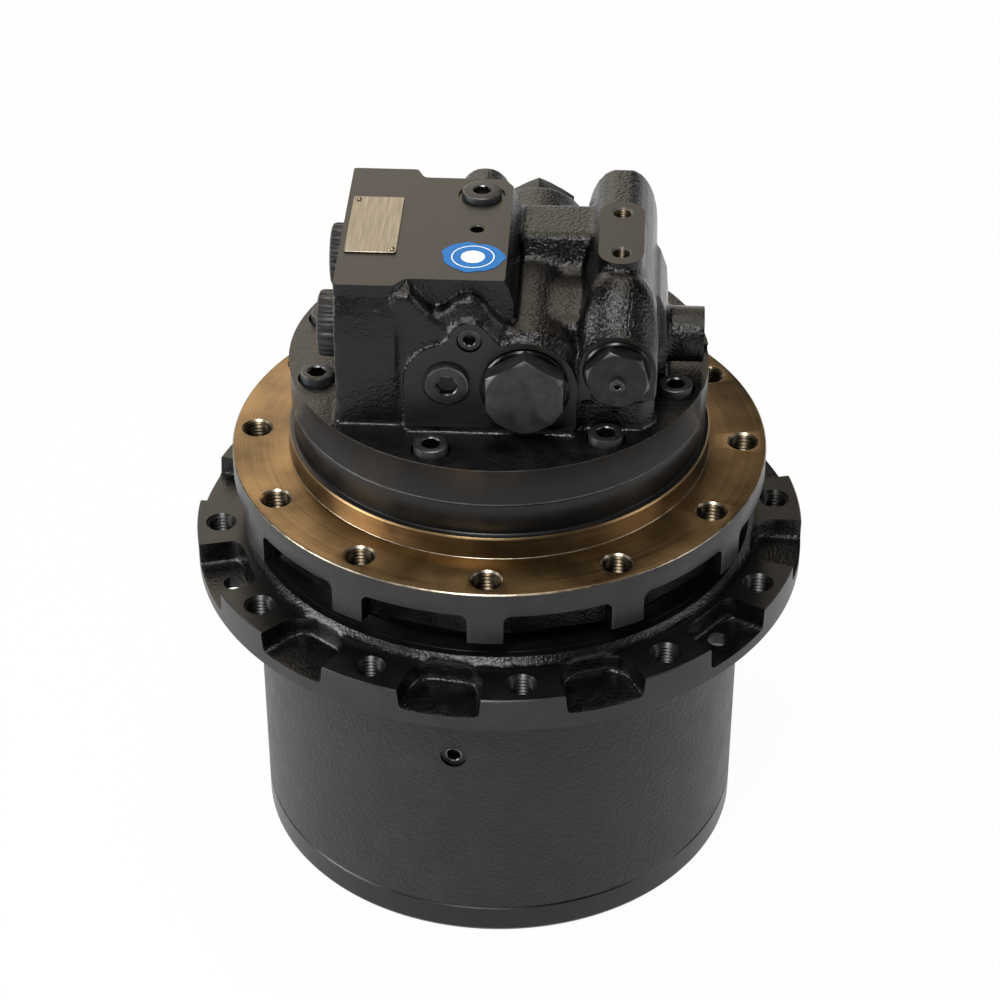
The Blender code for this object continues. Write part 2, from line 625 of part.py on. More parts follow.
def facing_front(item, x, z):
    """Turn a piece built along +Z so that it looks along -Y, with its axis through (x, z)."""
    turn = Matrix.Rotation(math.pi / 2, 4, "X")
    return settle(item, Matrix.Translation(Vector((x, 0, z))) @ turn)


def facing_back(item, x, z):
    """Turn a piece built along +Z so that it looks along +Y, with its axis through (x, z)."""
    turn = Matrix.Rotation(-math.pi / 2, 4, "X")
    return settle(item, Matrix.Translation(Vector((x, 0, z))) @ turn)


def facing_side(item, y, z, sign):
    """Turn a piece built along +Z so that it looks along +X or -X, with its axis through (y, z)."""
    turn = Matrix.Rotation(sign * math.pi / 2, 4, "Y")
    return settle(item, Matrix.Translation(Vector((0, y, z))) @ turn)


def moved(item, x, y, z=0.0):
    """Shift the mesh of a piece."""
    return settle(item, Matrix.Translation(Vector((x, y, z))))


def combine(target, tools, operation):
    """Apply exact Booleans to a piece and delete the tools."""
    for tool in tools:
        tool.hide_render = True
        tool.display_type = "WIRE"
        change = target.modifiers.new(tool.name, "BOOLEAN")
        change.operation = operation
        change.solver = "EXACT"
        change.object = tool
    bpy.context.view_layer.update()
    result = target.evaluated_get(bpy.context.evaluated_depsgraph_get())
    mesh = bpy.data.meshes.new_from_object(result)
    close_seams(mesh)
    target.modifiers.clear()
    old = target.data
    target.data = mesh
    mesh.name = target.name
    bpy.data.meshes.remove(old)
    for tool in tools:
        bpy.data.objects.remove(tool)
    shade(target)
    return target


def close_seams(mesh):
    """Join doubled points, drop faces without area, and merge faces that lie in one plane."""
    shape = bmesh.new()
    shape.from_mesh(mesh)
    bmesh.ops.remove_doubles(shape, verts=shape.verts, dist=MERGE)
    bmesh.ops.dissolve_degenerate(shape, dist=MERGE, edges=shape.edges)
    bmesh.ops.dissolve_limit(shape, angle_limit=FLAT_ANGLE, verts=shape.verts, edges=shape.edges)
    shape.to_mesh(mesh)
    shape.free()


def cut(target, *tools):
    """Take the tools out of a piece."""
    return combine(target, tools, "DIFFERENCE")


def weld(target, *tools):
    """Add the tools to a piece."""
    return combine(target, tools, "UNION")


def involute(angle):
    """The involute function."""
    return math.tan(angle) - angle


def gear_outline(teeth, outward, inward, thinning):
    """Outline of a spur gear whose tips reach outward and roots inward from the pitch circle."""
    pitch = teeth * MODULE / 2
    base = pitch * math.cos(PRESSURE_ANGLE)
    tip = pitch + outward
    root = pitch - inward
    radii = (root, max(base, root), tip) if base > root else (root, tip)

    def half_angle(radius):
        roll = math.acos(min(1.0, base / radius))
        spread = math.pi / (2 * teeth) + involute(PRESSURE_ANGLE) - involute(roll)
        return spread - thinning / (2 * pitch)

    outline = []
    for tooth in range(teeth):
        middle = FULL_TURN * tooth / teeth
        for radius in radii:
            angle = middle - half_angle(radius)
            outline.append((radius * math.cos(angle), radius * math.sin(angle)))
        for radius in reversed(radii):
            angle = middle + half_angle(radius)
            outline.append((radius * math.cos(angle), radius * math.sin(angle)))
    return outline


def gear(name, teeth, low, high, bore, bore_steps):
    """A spur gear with a plain bore."""
    outline = gear_outline(teeth, ADDENDUM_SHARE * MODULE, DEDENDUM_SHARE * MODULE, BACKLASH)
    blank = prism(name, outline, low, high, "gear_steel")
    return cut(blank, rod("bore", bore, low - OVERRUN, high + OVERRUN, bore_steps))


def planet_places(count, centre_distance):
    """Angles and centres of the planets of one stage."""
    for index in range(count):
        angle = FULL_TURN * index / count
        yield index, angle, centre_distance * math.cos(angle), centre_distance * math.sin(angle)


def column_wall(name, columns):
    """A curved block: each column is (angle, inner r, outer r, inner floor, outer floor, top)."""
    points = []
    for angle, inner, outer, inner_floor, outer_floor, top in columns:
        for radius, height in ((inner, inner_floor), (outer, outer_floor), (outer, top), (inner, top)):
            points.append((radius * math.cos(angle), radius * math.sin(angle), height))
    faces = [[0, 1, 2, 3], [len(points) - corner for corner in (1, 2, 3, 4)]]
    for column in range(len(columns) - 1):
        first = 4 * column
        for corner in range(4):
            after = (corner + 1) % 4
            faces.append([first + corner, first + corner + 4, first + after + 4, first + after])
    return solid(name, points, faces)


def hex_key(name, corner_radius, low, high):
    """The six-sided hole that a key fits."""
    return rod(name, corner_radius, low, high, HEX_SIDES)


def socket_plug(name, head, head_height, thread, length, socket, depth, finish="black_oxide"):
    """A plug with a round head that ends at Z = 0 and a threaded end below it."""
    profile = [
        (0, -head_height - length),
        (thread, -head_height - length),
        (thread, -head_height),
        (head, -head_height),
        (head, 0),
        (0, 0),
    ]
    plug = turned(name, profile, PLUG_STEPS, finish)
    return cut(plug, hex_key("key", socket, -depth, OVERRUN))


def hex_plug(name, across_flats, hex_height, collar, collar_height, thread, length, turn=0.0):
    """A plug with a round collar that stands on Z = 0, a hexagon above and a thread below."""
    corner = across_flats / math.sqrt(3)
    profile = [
        (0, -length),
        (thread, -length),
        (thread, 0),
        (collar, 0),
        (collar, collar_height),
        (0, collar_height),
    ]
    plug = turned(name, profile, PLUG_STEPS, "black_oxide")
    head = rod("head", corner, 0, collar_height + hex_height, HEX_SIDES, phase=math.pi / 2 + turn)
    return weld(plug, head)


def make_end_cover():
    """The end cover with its spigot, thrust pad, bolt recesses and two plug seats."""
    spigot = ring_root_radius() + GAP
    rim = COVER_RIM_HEIGHT
    spigot_top = rim + COVER_SPIGOT_HEIGHT
    profile = [
        (0, COVER_DISH_DEPTH),
        (COVER_DISH_RADIUS, COVER_DISH_DEPTH),
        (COVER_DISH_RADIUS + COVER_DISH_SLOPE, 0),
        (DRUM_RADIUS - COVER_EDGE, 0),
        (DRUM_RADIUS, COVER_EDGE),
        (DRUM_RADIUS, rim),
        (spigot, rim),
        (spigot, spigot_top),
        (COVER_RECESS_RADIUS + COVER_RECESS_SLOPE, spigot_top),
        (COVER_RECESS_RADIUS, COVER_PLATE),
        (THRUST_PAD_RADIUS, COVER_PLATE),
        (THRUST_PAD_RADIUS, THRUST_PAD_TOP),
        (0, THRUST_PAD_TOP),
    ]
    cover = turned("end_cover", profile, RING_STEPS, "black_paint")
    tools = []
    for index in range(COVER_BOLT_COUNT):
        angle = FULL_TURN * (index + 0.5) / COVER_BOLT_COUNT
        place = (COVER_BOLT_CIRCLE * math.cos(angle), COVER_BOLT_CIRCLE * math.sin(angle))
        tools.append(rod("recess", COVER_BOLT_RECESS_RADIUS, -OVERRUN, COVER_BOLT_RECESS_DEPTH,
                         HOLE_STEPS, centre=place))
    for _, place in cover_plug_places():
        seat = COVER_PLUG_SET_BACK + COVER_PLUG_HEAD + GAP
        tools.append(rod("seat", COVER_PLUG_RADIUS + ROUND_GAP, -OVERRUN, seat, PLUG_STEPS, centre=place))
        tools.append(rod("thread", COVER_PLUG_THREAD_RADIUS + GAP, -OVERRUN, COVER_PLATE + OVERRUN,
                         PLUG_STEPS, centre=place))
    cut(cover, *tools)


def cover_plug_places():
    """Names and places of the two oil plugs in the cover."""
    return (("fill_plug", (0.0, COVER_PLUG_CIRCLE)), ("drain_plug", (0.0, -COVER_PLUG_CIRCLE)))


def make_cover_plugs():
    """The oil fill and drain plugs, flush in the cover."""
    for name, (x, y) in cover_plug_places():
        length = COVER_PLATE - COVER_PLUG_SET_BACK - COVER_PLUG_HEAD
        plug = socket_plug(name, COVER_PLUG_RADIUS, COVER_PLUG_HEAD, COVER_PLUG_THREAD_RADIUS, length,
                           COVER_PLUG_SOCKET, COVER_PLUG_SOCKET_DEPTH)
        settle(plug, Matrix.Rotation(math.pi, 4, "X"))
        moved(plug, x, y, COVER_PLUG_SET_BACK)


def ring_root_radius():
    """Root radius of the ring gear teeth."""
    return RING_TEETH * MODULE / 2 + DEDENDUM_SHARE * MODULE


def gap_columns(middle, inner_floor, flat):
    """Columns of the gap between two pads, with rounded inner corners."""
    half = math.pi / PAD_COUNT - PAD_HALF_ANGLE
    inner = FLAT_INNER_RADIUS if flat else SCOOP_INNER_RADIUS
    outer = SPROCKET_RADIUS + OVERRUN
    columns = []
    for step in range(SCOOP_STEPS + 1):
        share = 2 * step / SCOOP_STEPS - 1
        edge = max(0.0, (abs(share) - FLOOR_SHARE) / (1 - FLOOR_SHARE))
        radius = inner + SCOOP_CORNER * (1 - math.sqrt(max(0.0, 1 - edge * edge)))
        rise = (SPROCKET_RADIUS - radius) / (SPROCKET_RADIUS - inner)
        floor = SPROCKET_RIM_TOP + (inner_floor - SPROCKET_RIM_TOP) * rise
        fall = (inner_floor - SPROCKET_RIM_TOP) * OVERRUN / (SPROCKET_RADIUS - inner)
        columns.append((middle + half * share, radius, outer, floor, SPROCKET_RIM_TOP - fall,
                        COLLAR_TOP + OVERRUN))
    return columns


def make_housing():
    """The drum casting: sprocket flange with pads and scoops, bearing seats and ring gear."""
    root = ring_root_radius()
    seat = BEARING_OUTER_RADIUS + ROUND_GAP
    relief_top = GEAR_TOP + GEAR_RELIEF
    seal_floor = SEAL_FACE_HEIGHT - SEAL_RING_HEIGHT - ROUND_GAP
    profile = [
        (DRUM_RADIUS, HOUSING_BOTTOM),
        (DRUM_RADIUS, SPROCKET_UNDERSIDE),
        (SPROCKET_RADIUS, SPROCKET_UNDERSIDE),
        (SPROCKET_RADIUS, PAD_TOP),
        (PAD_INNER_RADIUS, PAD_TOP),
        (COLLAR_RADIUS, COLLAR_TOP - COLLAR_EDGE),
        (COLLAR_RADIUS - COLLAR_EDGE, COLLAR_TOP),
        (COLLAR_BORE, COLLAR_TOP),
        (COLLAR_BORE, COLLAR_BORE_BOTTOM),
        (SEAL_OUTER_RADIUS + ROUND_GAP, COLLAR_BORE_BOTTOM),
        (SEAL_OUTER_RADIUS + ROUND_GAP, seal_floor),
        (seat, seal_floor),
        (seat, UPPER_BEARING_BOTTOM - GAP),
        (BEARING_SHOULDER, UPPER_BEARING_BOTTOM - GAP),
        (BEARING_SHOULDER, LOWER_BEARING_BOTTOM + BEARING_WIDTH + GAP),
        (seat, LOWER_BEARING_BOTTOM + BEARING_WIDTH + GAP),
        (seat, relief_top),
        (root + ROUND_GAP, relief_top),
        (root + ROUND_GAP, GEAR_TOP),
        (seat, GEAR_TOP),
        (seat, GEAR_BOTTOM),
        (root + ROUND_GAP, GEAR_BOTTOM),
        (root + ROUND_GAP, HOUSING_BOTTOM),
    ]
    housing = turned("housing", profile, RING_STEPS, "grey_paint")
    spaces = gear_outline(RING_TEETH, DEDENDUM_SHARE * MODULE, ADDENDUM_SHARE * MODULE, -BACKLASH)
    tools = [prism("tooth_spaces", spaces, GEAR_BOTTOM - OVERRUN, GEAR_TOP + OVERRUN)]
    cut(housing, *tools)
    tools = []
    for index in range(PAD_COUNT):
        pad_angle = PAD_FIRST_ANGLE + FULL_TURN * index / PAD_COUNT
        gap_angle = pad_angle + math.pi / PAD_COUNT
        flat = index % FLAT_EVERY == FLAT_FIRST_GAP
        inner_floor = SPROCKET_RIM_TOP if flat else SCOOP_TOP
        tools.append(column_wall("scoop", gap_columns(gap_angle, inner_floor, flat)))
        place = (PAD_HOLE_CIRCLE * math.cos(pad_angle), PAD_HOLE_CIRCLE * math.sin(pad_angle))
        tools.append(rod("pad_hole", PAD_HOLE_RADIUS, SPROCKET_UNDERSIDE - OVERRUN, PAD_TOP + OVERRUN,
                         HOLE_STEPS, centre=place))
        if flat:
            place = (DOWEL_CIRCLE * math.cos(gap_angle), DOWEL_CIRCLE * math.sin(gap_angle))
            tools.append(rod("dowel_hole", DOWEL_HOLE_RADIUS, SPROCKET_UNDERSIDE - OVERRUN,
                             PAD_TOP + OVERRUN, HOLE_STEPS, centre=place))
    cut(housing, *tools)
    seat_tool = rod("side_plug_seat", SIDE_PLUG_RADIUS + GAP, DRUM_RADIUS - SIDE_PLUG_DEPTH,
                    DRUM_RADIUS + OVERRUN, HOLE_STEPS)
    cut(housing, radial(seat_tool, SIDE_PLUG_ANGLE, SIDE_PLUG_HEIGHT))


def radial(item, angle, height):
    """Turn a piece built along +Z so that it looks outward at an angle round the drum."""
    turn = Matrix.Rotation(angle, 4, "Z") @ Matrix.Rotation(math.pi / 2, 4, "Y")
    return settle(item, Matrix.Translation(Vector((0, 0, height))) @ turn)


def make_side_plug():
    """The small level plug set in the drum wall."""
    low = DRUM_RADIUS - SPOT_DEPTH - SIDE_PLUG_LENGTH
    high = DRUM_RADIUS - SPOT_DEPTH
    plug = rod("level_plug", SIDE_PLUG_RADIUS, low, high, HOLE_STEPS, "black_oxide")
    cut(plug, hex_key("key", SIDE_PLUG_SOCKET, high - SIDE_PLUG_SOCKET_DEPTH, high + OVERRUN))
    radial(plug, SIDE_PLUG_ANGLE, SIDE_PLUG_HEIGHT)


def make_main_bearings():
    """Inner race, outer race and ball set of the two main bearings."""
    ball_circle = (BEARING_INNER_GROOVE + BEARING_OUTER_GROOVE) / 2
    for name, bottom in (("lower", LOWER_BEARING_BOTTOM), ("upper", UPPER_BEARING_BOTTOM)):
        top = bottom + BEARING_WIDTH
        middle = (bottom + top) / 2
        outer = [
            (BEARING_OUTER_GROOVE, bottom),
            (BEARING_OUTER_RADIUS, bottom),
            (BEARING_OUTER_RADIUS, top),
            (BEARING_OUTER_GROOVE, top),
            (BEARING_OUTER_GROOVE, middle + GROOVE_HALF_WIDTH),
            (BEARING_OUTER_GROOVE + GROOVE_DEPTH, middle),
            (BEARING_OUTER_GROOVE, middle - GROOVE_HALF_WIDTH),
        ]
        inner = [
            (BEARING_INNER_RADIUS, bottom),
            (BEARING_INNER_GROOVE, bottom),
            (BEARING_INNER_GROOVE, middle - GROOVE_HALF_WIDTH),
            (BEARING_INNER_GROOVE - GROOVE_DEPTH, middle),
            (BEARING_INNER_GROOVE, middle + GROOVE_HALF_WIDTH),
            (BEARING_INNER_GROOVE, top),
            (BEARING_INNER_RADIUS, top),
        ]
        turned(name + "_bearing_outer_race", outer, BORE_STEPS)
        turned(name + "_bearing_inner_race", inner, BORE_STEPS)
        make_ball_set(name + "_bearing_balls", ball_circle, middle)


def make_ball_set(name, circle_radius, height):
    """Balls in their cage as one ring whose section swells at each ball."""
    shares = BALL_STATION_SHARES
    stations = BALL_COUNT * len(shares)
    points = []
    for station in range(stations):
        angle = FULL_TURN * station / stations
        size = BALL_RADIUS * shares[station % len(shares)]
        for corner in range(BALL_SECTION_STEPS):
            turn = FULL_TURN * corner / BALL_SECTION_STEPS
            radius = circle_radius + size * math.cos(turn)
            points.append((radius * math.cos(angle), radius * math.sin(angle),
                           height + size * math.sin(turn)))
    faces = []
    for station in range(stations):
        first = station * BALL_SECTION_STEPS
        second = (station + 1) % stations * BALL_SECTION_STEPS
        for corner in range(BALL_SECTION_STEPS):
            after = (corner + 1) % BALL_SECTION_STEPS
            faces.append([first + corner, second + corner, second + after, first + after])
    return solid(name, points, faces)


def make_floating_seal():
    """The two lapped seal rings, one in each casting."""
    low = SEAL_FACE_HEIGHT - GAP / 2
    high = SEAL_FACE_HEIGHT + GAP / 2
    turning = [
        (SEAL_INNER_RADIUS, low - SEAL_RING_HEIGHT),
        (SEAL_OUTER_RADIUS - SEAL_TAPER, low - SEAL_RING_HEIGHT),
        (SEAL_OUTER_RADIUS, low - SEAL_TAPER),
        (SEAL_OUTER_RADIUS, low),
        (SEAL_INNER_RADIUS, low),
    ]
    still = [
        (SEAL_INNER_RADIUS, high),
        (SEAL_OUTER_RADIUS, high),
        (SEAL_OUTER_RADIUS, high + SEAL_TAPER),
        (SEAL_OUTER_RADIUS - SEAL_TAPER, high + SEAL_RING_HEIGHT),
        (SEAL_INNER_RADIUS, high + SEAL_RING_HEIGHT),
    ]
    turned("turning_seal_ring", turning, BORE_STEPS)
    turned("fixed_seal_ring", still, BORE_STEPS)


def pocket_columns(middle):
    """Columns of one pocket under the frame flange, with rounded upper corners."""
    half = math.pi / LAND_COUNT - LAND_HALF_ANGLE
    corner = POCKET_CORNER / FLANGE_RADIUS
    offsets = (
        (-half, 1.0),
        (-half + corner, 0.0),
        (0.0, 0.0),
        (half - corner, 0.0),
        (half, 1.0),
    )
    low = FLANGE_BOTTOM - OVERRUN
    for offset, drop in offsets:
        top = POCKET_TOP - POCKET_CORNER * drop
        yield (middle + offset, POCKET_DRUM_RADIUS, FLANGE_RADIUS + OVERRUN, low, low, top)


def make_motor_case():
    """The spindle casting: frame flange with pockets and tapped holes, pilot, case and nose."""
    seal_top = SEAL_FACE_HEIGHT + GAP / 2 + SEAL_RING_HEIGHT + GAP
    skirt_bottom = COLLAR_BORE_BOTTOM + ROUND_GAP
    outside = [
        (NOSE_BORE, SPINDLE_BOTTOM),
        (NUT_THREAD_RADIUS, SPINDLE_BOTTOM),
        (NUT_THREAD_RADIUS, LOWER_BEARING_BOTTOM - GAP),
        (SPINDLE_RADIUS, LOWER_BEARING_BOTTOM - GAP),
        (SPINDLE_RADIUS, UPPER_BEARING_BOTTOM + BEARING_WIDTH + GAP),
        (SPINDLE_SHOULDER_RADIUS, UPPER_BEARING_BOTTOM + BEARING_WIDTH + GAP),
        (SPINDLE_SHOULDER_RADIUS, seal_top),
        (SEAL_OUTER_RADIUS + ROUND_GAP, seal_top),
        (SEAL_OUTER_RADIUS + ROUND_GAP, skirt_bottom),
        (SKIRT_RADIUS, skirt_bottom),
        (SKIRT_RADIUS, FLANGE_BOTTOM),
        (FLANGE_RADIUS, FLANGE_BOTTOM),
        (FLANGE_RADIUS, FLANGE_TOP - FLANGE_EDGE),
        (FLANGE_RADIUS - FLANGE_EDGE, FLANGE_TOP),
        (PILOT_RADIUS, FLANGE_TOP),
        (PILOT_RADIUS, PILOT_TOP - FLANGE_EDGE),
        (PILOT_RADIUS - FLANGE_EDGE, PILOT_TOP),
        (CASE_RADIUS, PILOT_TOP),
        (CASE_RADIUS, CASE_TOP),
    ]
    inside = [
        (0, NOSE_BORE_TOP - OVERRUN),
        (NOSE_HOLE_RADIUS, NOSE_BORE_TOP - OVERRUN),
        (NOSE_HOLE_RADIUS, SHAFT_SEAL_BOTTOM - GAP),
        (SHAFT_SEAL_RADIUS + GAP, SHAFT_SEAL_BOTTOM - GAP),
        (SHAFT_SEAL_RADIUS + GAP, FRONT_BEARING_BOTTOM - GAP),
        (FRONT_BEARING_RADIUS + GAP, FRONT_BEARING_BOTTOM - GAP),
        (FRONT_BEARING_RADIUS + GAP, CASE_FLOOR),
        (CASE_LOWER_BORE, CASE_FLOOR),
        (CASE_LOWER_BORE, CASE_STEP),
        (CASE_UPPER_BORE, CASE_STEP),
        (CASE_UPPER_BORE, CASE_TOP + OVERRUN),
        (0, CASE_TOP + OVERRUN),
    ]
    outside += [(0, CASE_TOP), (0, NOSE_BORE_TOP), (NOSE_BORE, NOSE_BORE_TOP)]
    case = turned("motor_case", outside, RING_STEPS, "turned_face")
    tools = [turned("cavity", inside, BORE_STEPS)]
    for index in range(LAND_COUNT):
        angle = FULL_TURN * index / LAND_COUNT
        place = (FRAME_HOLE_CIRCLE * math.cos(angle), FRAME_HOLE_CIRCLE * math.sin(angle))
        tools.append(column_wall("pocket", list(pocket_columns(angle + math.pi / LAND_COUNT))))
        tools.append(rod("frame_hole", FRAME_HOLE_RADIUS, FLANGE_BOTTOM - OVERRUN,
                         FLANGE_TOP + OVERRUN, HOLE_STEPS, centre=place))
    for x, y in block_bolt_places():
        tools.append(rod("bolt_hole", BLOCK_BOLT_HOLE, bolt_end() - OVERRUN, CASE_TOP + OVERRUN,
                         SMALL_STEPS, centre=(x, y)))
    tools.append(rod("speed_bore", SPEED_PISTON_RADIUS + GAP, SPEED_PISTON_BORE_BOTTOM,
                     CASE_FLOOR + OVERRUN, HOLE_STEPS, centre=(SPEED_PISTON_X, 0)))
    cut(case, *tools)


def block_bolt_places():
    """Centres of the bolts round the valve block."""
    for angle in BLOCK_BOLT_ANGLES:
        yield BLOCK_BOLT_CIRCLE * math.cos(angle), BLOCK_BOLT_CIRCLE * math.sin(angle)


def bolt_end():
    """Height of the lower end of the block bolts."""
    return BLOCK_BASE_TOP - BLOCK_BOLT_LENGTH


def make_spindle_nut():
    """The slotted nut that holds the inner races on the spindle."""
    top = LOWER_BEARING_BOTTOM - GAP
    profile = [
        (NUT_THREAD_RADIUS + ROUND_GAP, NUT_BOTTOM),
        (NUT_RADIUS, NUT_BOTTOM),
        (NUT_RADIUS, top),
        (NUT_THREAD_RADIUS + ROUND_GAP, top),
    ]
    nut = turned("bearing_nut", profile, BORE_STEPS)
    half = NUT_SLOT_WIDTH / 2
    tools = []
    for index in range(NUT_SLOT_COUNT):
        inner = NUT_RADIUS - NUT_SLOT_DEPTH
        outer = NUT_RADIUS + OVERRUN
        outline = [(inner, -half), (outer, -half), (outer, half), (inner, half)]
        slot = prism("slot", outline, NUT_BOTTOM - OVERRUN, top + OVERRUN)
        tools.append(settle(slot, Matrix.Rotation(FULL_TURN * (index + 0.5) / NUT_SLOT_COUNT, 4, "Z")))
    cut(nut, *tools)


def stage_distance(sun_teeth, planet_teeth):
    """Centre distance of a sun and its planets."""
    return (sun_teeth + planet_teeth) * MODULE / 2


def planet_turn(angle, planet_teeth):
    """Turn of a planet at one angle that brings it into mesh with the ring gear."""
    return angle * (1 - RING_TEETH / planet_teeth)


def sun_turn(sun_teeth, planet_teeth):
    """Turn of a sun gear that brings it into mesh with its planets."""
    return math.pi * (planet_teeth - 1) / sun_teeth


def make_planets(stage, count, sun_teeth, planet_teeth, bottom, face, pin_radius):
    """The planet gears of one stage, each with its origin on its pin."""
    distance = stage_distance(sun_teeth, planet_teeth)
    first = None
    for index, angle, x, y in planet_places(count, distance):
        name = f"stage_{stage}_planet_{index + 1}"
        if first is None:
            first = gear(name, planet_teeth, bottom, bottom + face, pin_radius + ROUND_GAP, PLUG_STEPS)
            planet = first
        else:
            planet = bpy.data.objects.new(name, first.data)
            bpy.context.collection.objects.link(planet)
        planet.location = (x, y, 0)
        planet.rotation_euler = (0, 0, planet_turn(angle, planet_teeth))


def make_carrier_1():
    """The first carrier: a three-armed plate with its planet pins."""
    distance = stage_distance(SUN_1_TEETH, PLANET_1_TEETH)
    low = CARRIER_1_BOTTOM
    high = low + CARRIER_1_THICKNESS
    carrier = rod("first_carrier", CARRIER_1_HUB_RADIUS, low, high, SHAFT_STEPS, "steel")
    half = CARRIER_1_ARM_RADIUS
    tools = []
    for _, angle, x, y in planet_places(PLANET_1_COUNT, distance):
        outline = [(0, -half), (distance, -half)]
        outline += arc((distance, 0.0), half, -math.pi / 2, math.pi / 2, SMALL_STEPS)[1:-1]
        outline += [(distance, half), (0, half)]
        arm = prism("arm", outline, low, high)
        settle(arm, Matrix.Rotation(angle, 4, "Z"))
        tools.append(arm)
        tools.append(rod("pin", PLANET_1_PIN_RADIUS, PLANET_1_BOTTOM - GAP, high - GAP, PLUG_STEPS,
                         centre=(x, y)))
    weld(carrier, *tools)
    cut(carrier, rod("bore", SUN_2_HUB_RADIUS + ROUND_GAP, low - OVERRUN, high + OVERRUN, SHAFT_STEPS))


def make_suns():
    """Sun gears of both stages."""
    sun_1 = gear("first_sun_gear", SUN_1_TEETH, SUN_1_BOTTOM, SUN_1_TOP, SUN_1_SPLINE_RADIUS + GAP,
                 SHAFT_STEPS)
    settle(sun_1, Matrix.Rotation(sun_turn(SUN_1_TEETH, PLANET_1_TEETH), 4, "Z"))
    outline = gear_outline(SUN_2_TEETH, ADDENDUM_SHARE * MODULE, DEDENDUM_SHARE * MODULE, BACKLASH)
    sun_2 = prism("second_sun_gear", outline, SUN_2_TOOTH_BOTTOM, SUN_2_TOP, "gear_steel")
    weld(sun_2, rod("hub", SUN_2_HUB_RADIUS, SUN_2_HUB_BOTTOM, SUN_2_TOOTH_BOTTOM + OVERRUN, SHAFT_STEPS))
    cut(sun_2, rod("bore", SUN_2_BORE, SUN_2_HUB_BOTTOM - OVERRUN, SUN_2_TOP + OVERRUN, HOLE_STEPS))
    settle(sun_2, Matrix.Rotation(sun_turn(SUN_2_TEETH, PLANET_2_TEETH), 4, "Z"))


def make_carrier_2():
    """The second carrier, fixed to the spindle nose, with its planet pins."""
    distance = stage_distance(SUN_2_TEETH, PLANET_2_TEETH)
    low = CARRIER_2_BOTTOM
    high = low + CARRIER_2_THICKNESS
    profile = [
        (CARRIER_2_BORE, low),
        (CARRIER_2_RADIUS, low),
        (CARRIER_2_RADIUS, high),
        (NOSE_BORE - GAP, high),
        (NOSE_BORE - GAP, CARRIER_2_SPIGOT_TOP),
        (CARRIER_2_BORE, CARRIER_2_SPIGOT_TOP),
    ]
    carrier = turned("second_carrier", profile, BORE_STEPS, "steel")
    tools = []
    for _, _, x, y in planet_places(PLANET_2_COUNT, distance):
        tools.append(rod("pin", PLANET_2_PIN_RADIUS, PLANET_2_BOTTOM - GAP, high - GAP, PLUG_STEPS,
                         centre=(x, y)))
    weld(carrier, *tools)


def make_shaft():
    """The motor shaft, its front bearing and its seal."""
    bearing_top = FRONT_BEARING_BOTTOM + FRONT_BEARING_HEIGHT
    profile = [
        (0, SHAFT_BOTTOM),
        (SUN_1_SPLINE_RADIUS, SHAFT_BOTTOM),
        (SUN_1_SPLINE_RADIUS, SUN_1_TOP + GAP),
        (SHAFT_THIN_RADIUS, SUN_1_TOP + GAP),
        (SHAFT_THIN_RADIUS, SHAFT_THIN_TOP),
        (SHAFT_RADIUS, SHAFT_THIN_TOP),
        (SHAFT_RADIUS, SHAFT_SPLINE_BOTTOM),
        (SHAFT_SPLINE_RADIUS, SHAFT_SPLINE_BOTTOM),
        (SHAFT_SPLINE_RADIUS, SHAFT_STUB_BOTTOM),
        (SHAFT_STUB_RADIUS, SHAFT_STUB_BOTTOM),
        (SHAFT_STUB_RADIUS, SHAFT_TOP),
        (0, SHAFT_TOP),
    ]
    turned("motor_shaft", profile, SHAFT_STEPS)
    rings = (
        ("shaft_bearing_outer_race", FRONT_BEARING_SPLIT + BEARING_GAP, FRONT_BEARING_RADIUS),
        ("shaft_bearing_inner_race", SHAFT_RADIUS + GAP, FRONT_BEARING_SPLIT),
    )
    for name, inner, outer in rings:
        ring(name, inner, outer, FRONT_BEARING_BOTTOM, bearing_top, SHAFT_STEPS, "steel")
    ring("shaft_seal", SHAFT_RADIUS + ROUND_GAP, SHAFT_SEAL_RADIUS, SHAFT_SEAL_BOTTOM,
         SHAFT_SEAL_BOTTOM + SHAFT_SEAL_HEIGHT, SHAFT_STEPS, "rubber")


def ring(name, inner, outer, low, high, steps, finish):
    """A plain ring of rectangular section."""
    return turned(name, [(inner, low), (outer, low), (outer, high), (inner, high)], steps, finish)


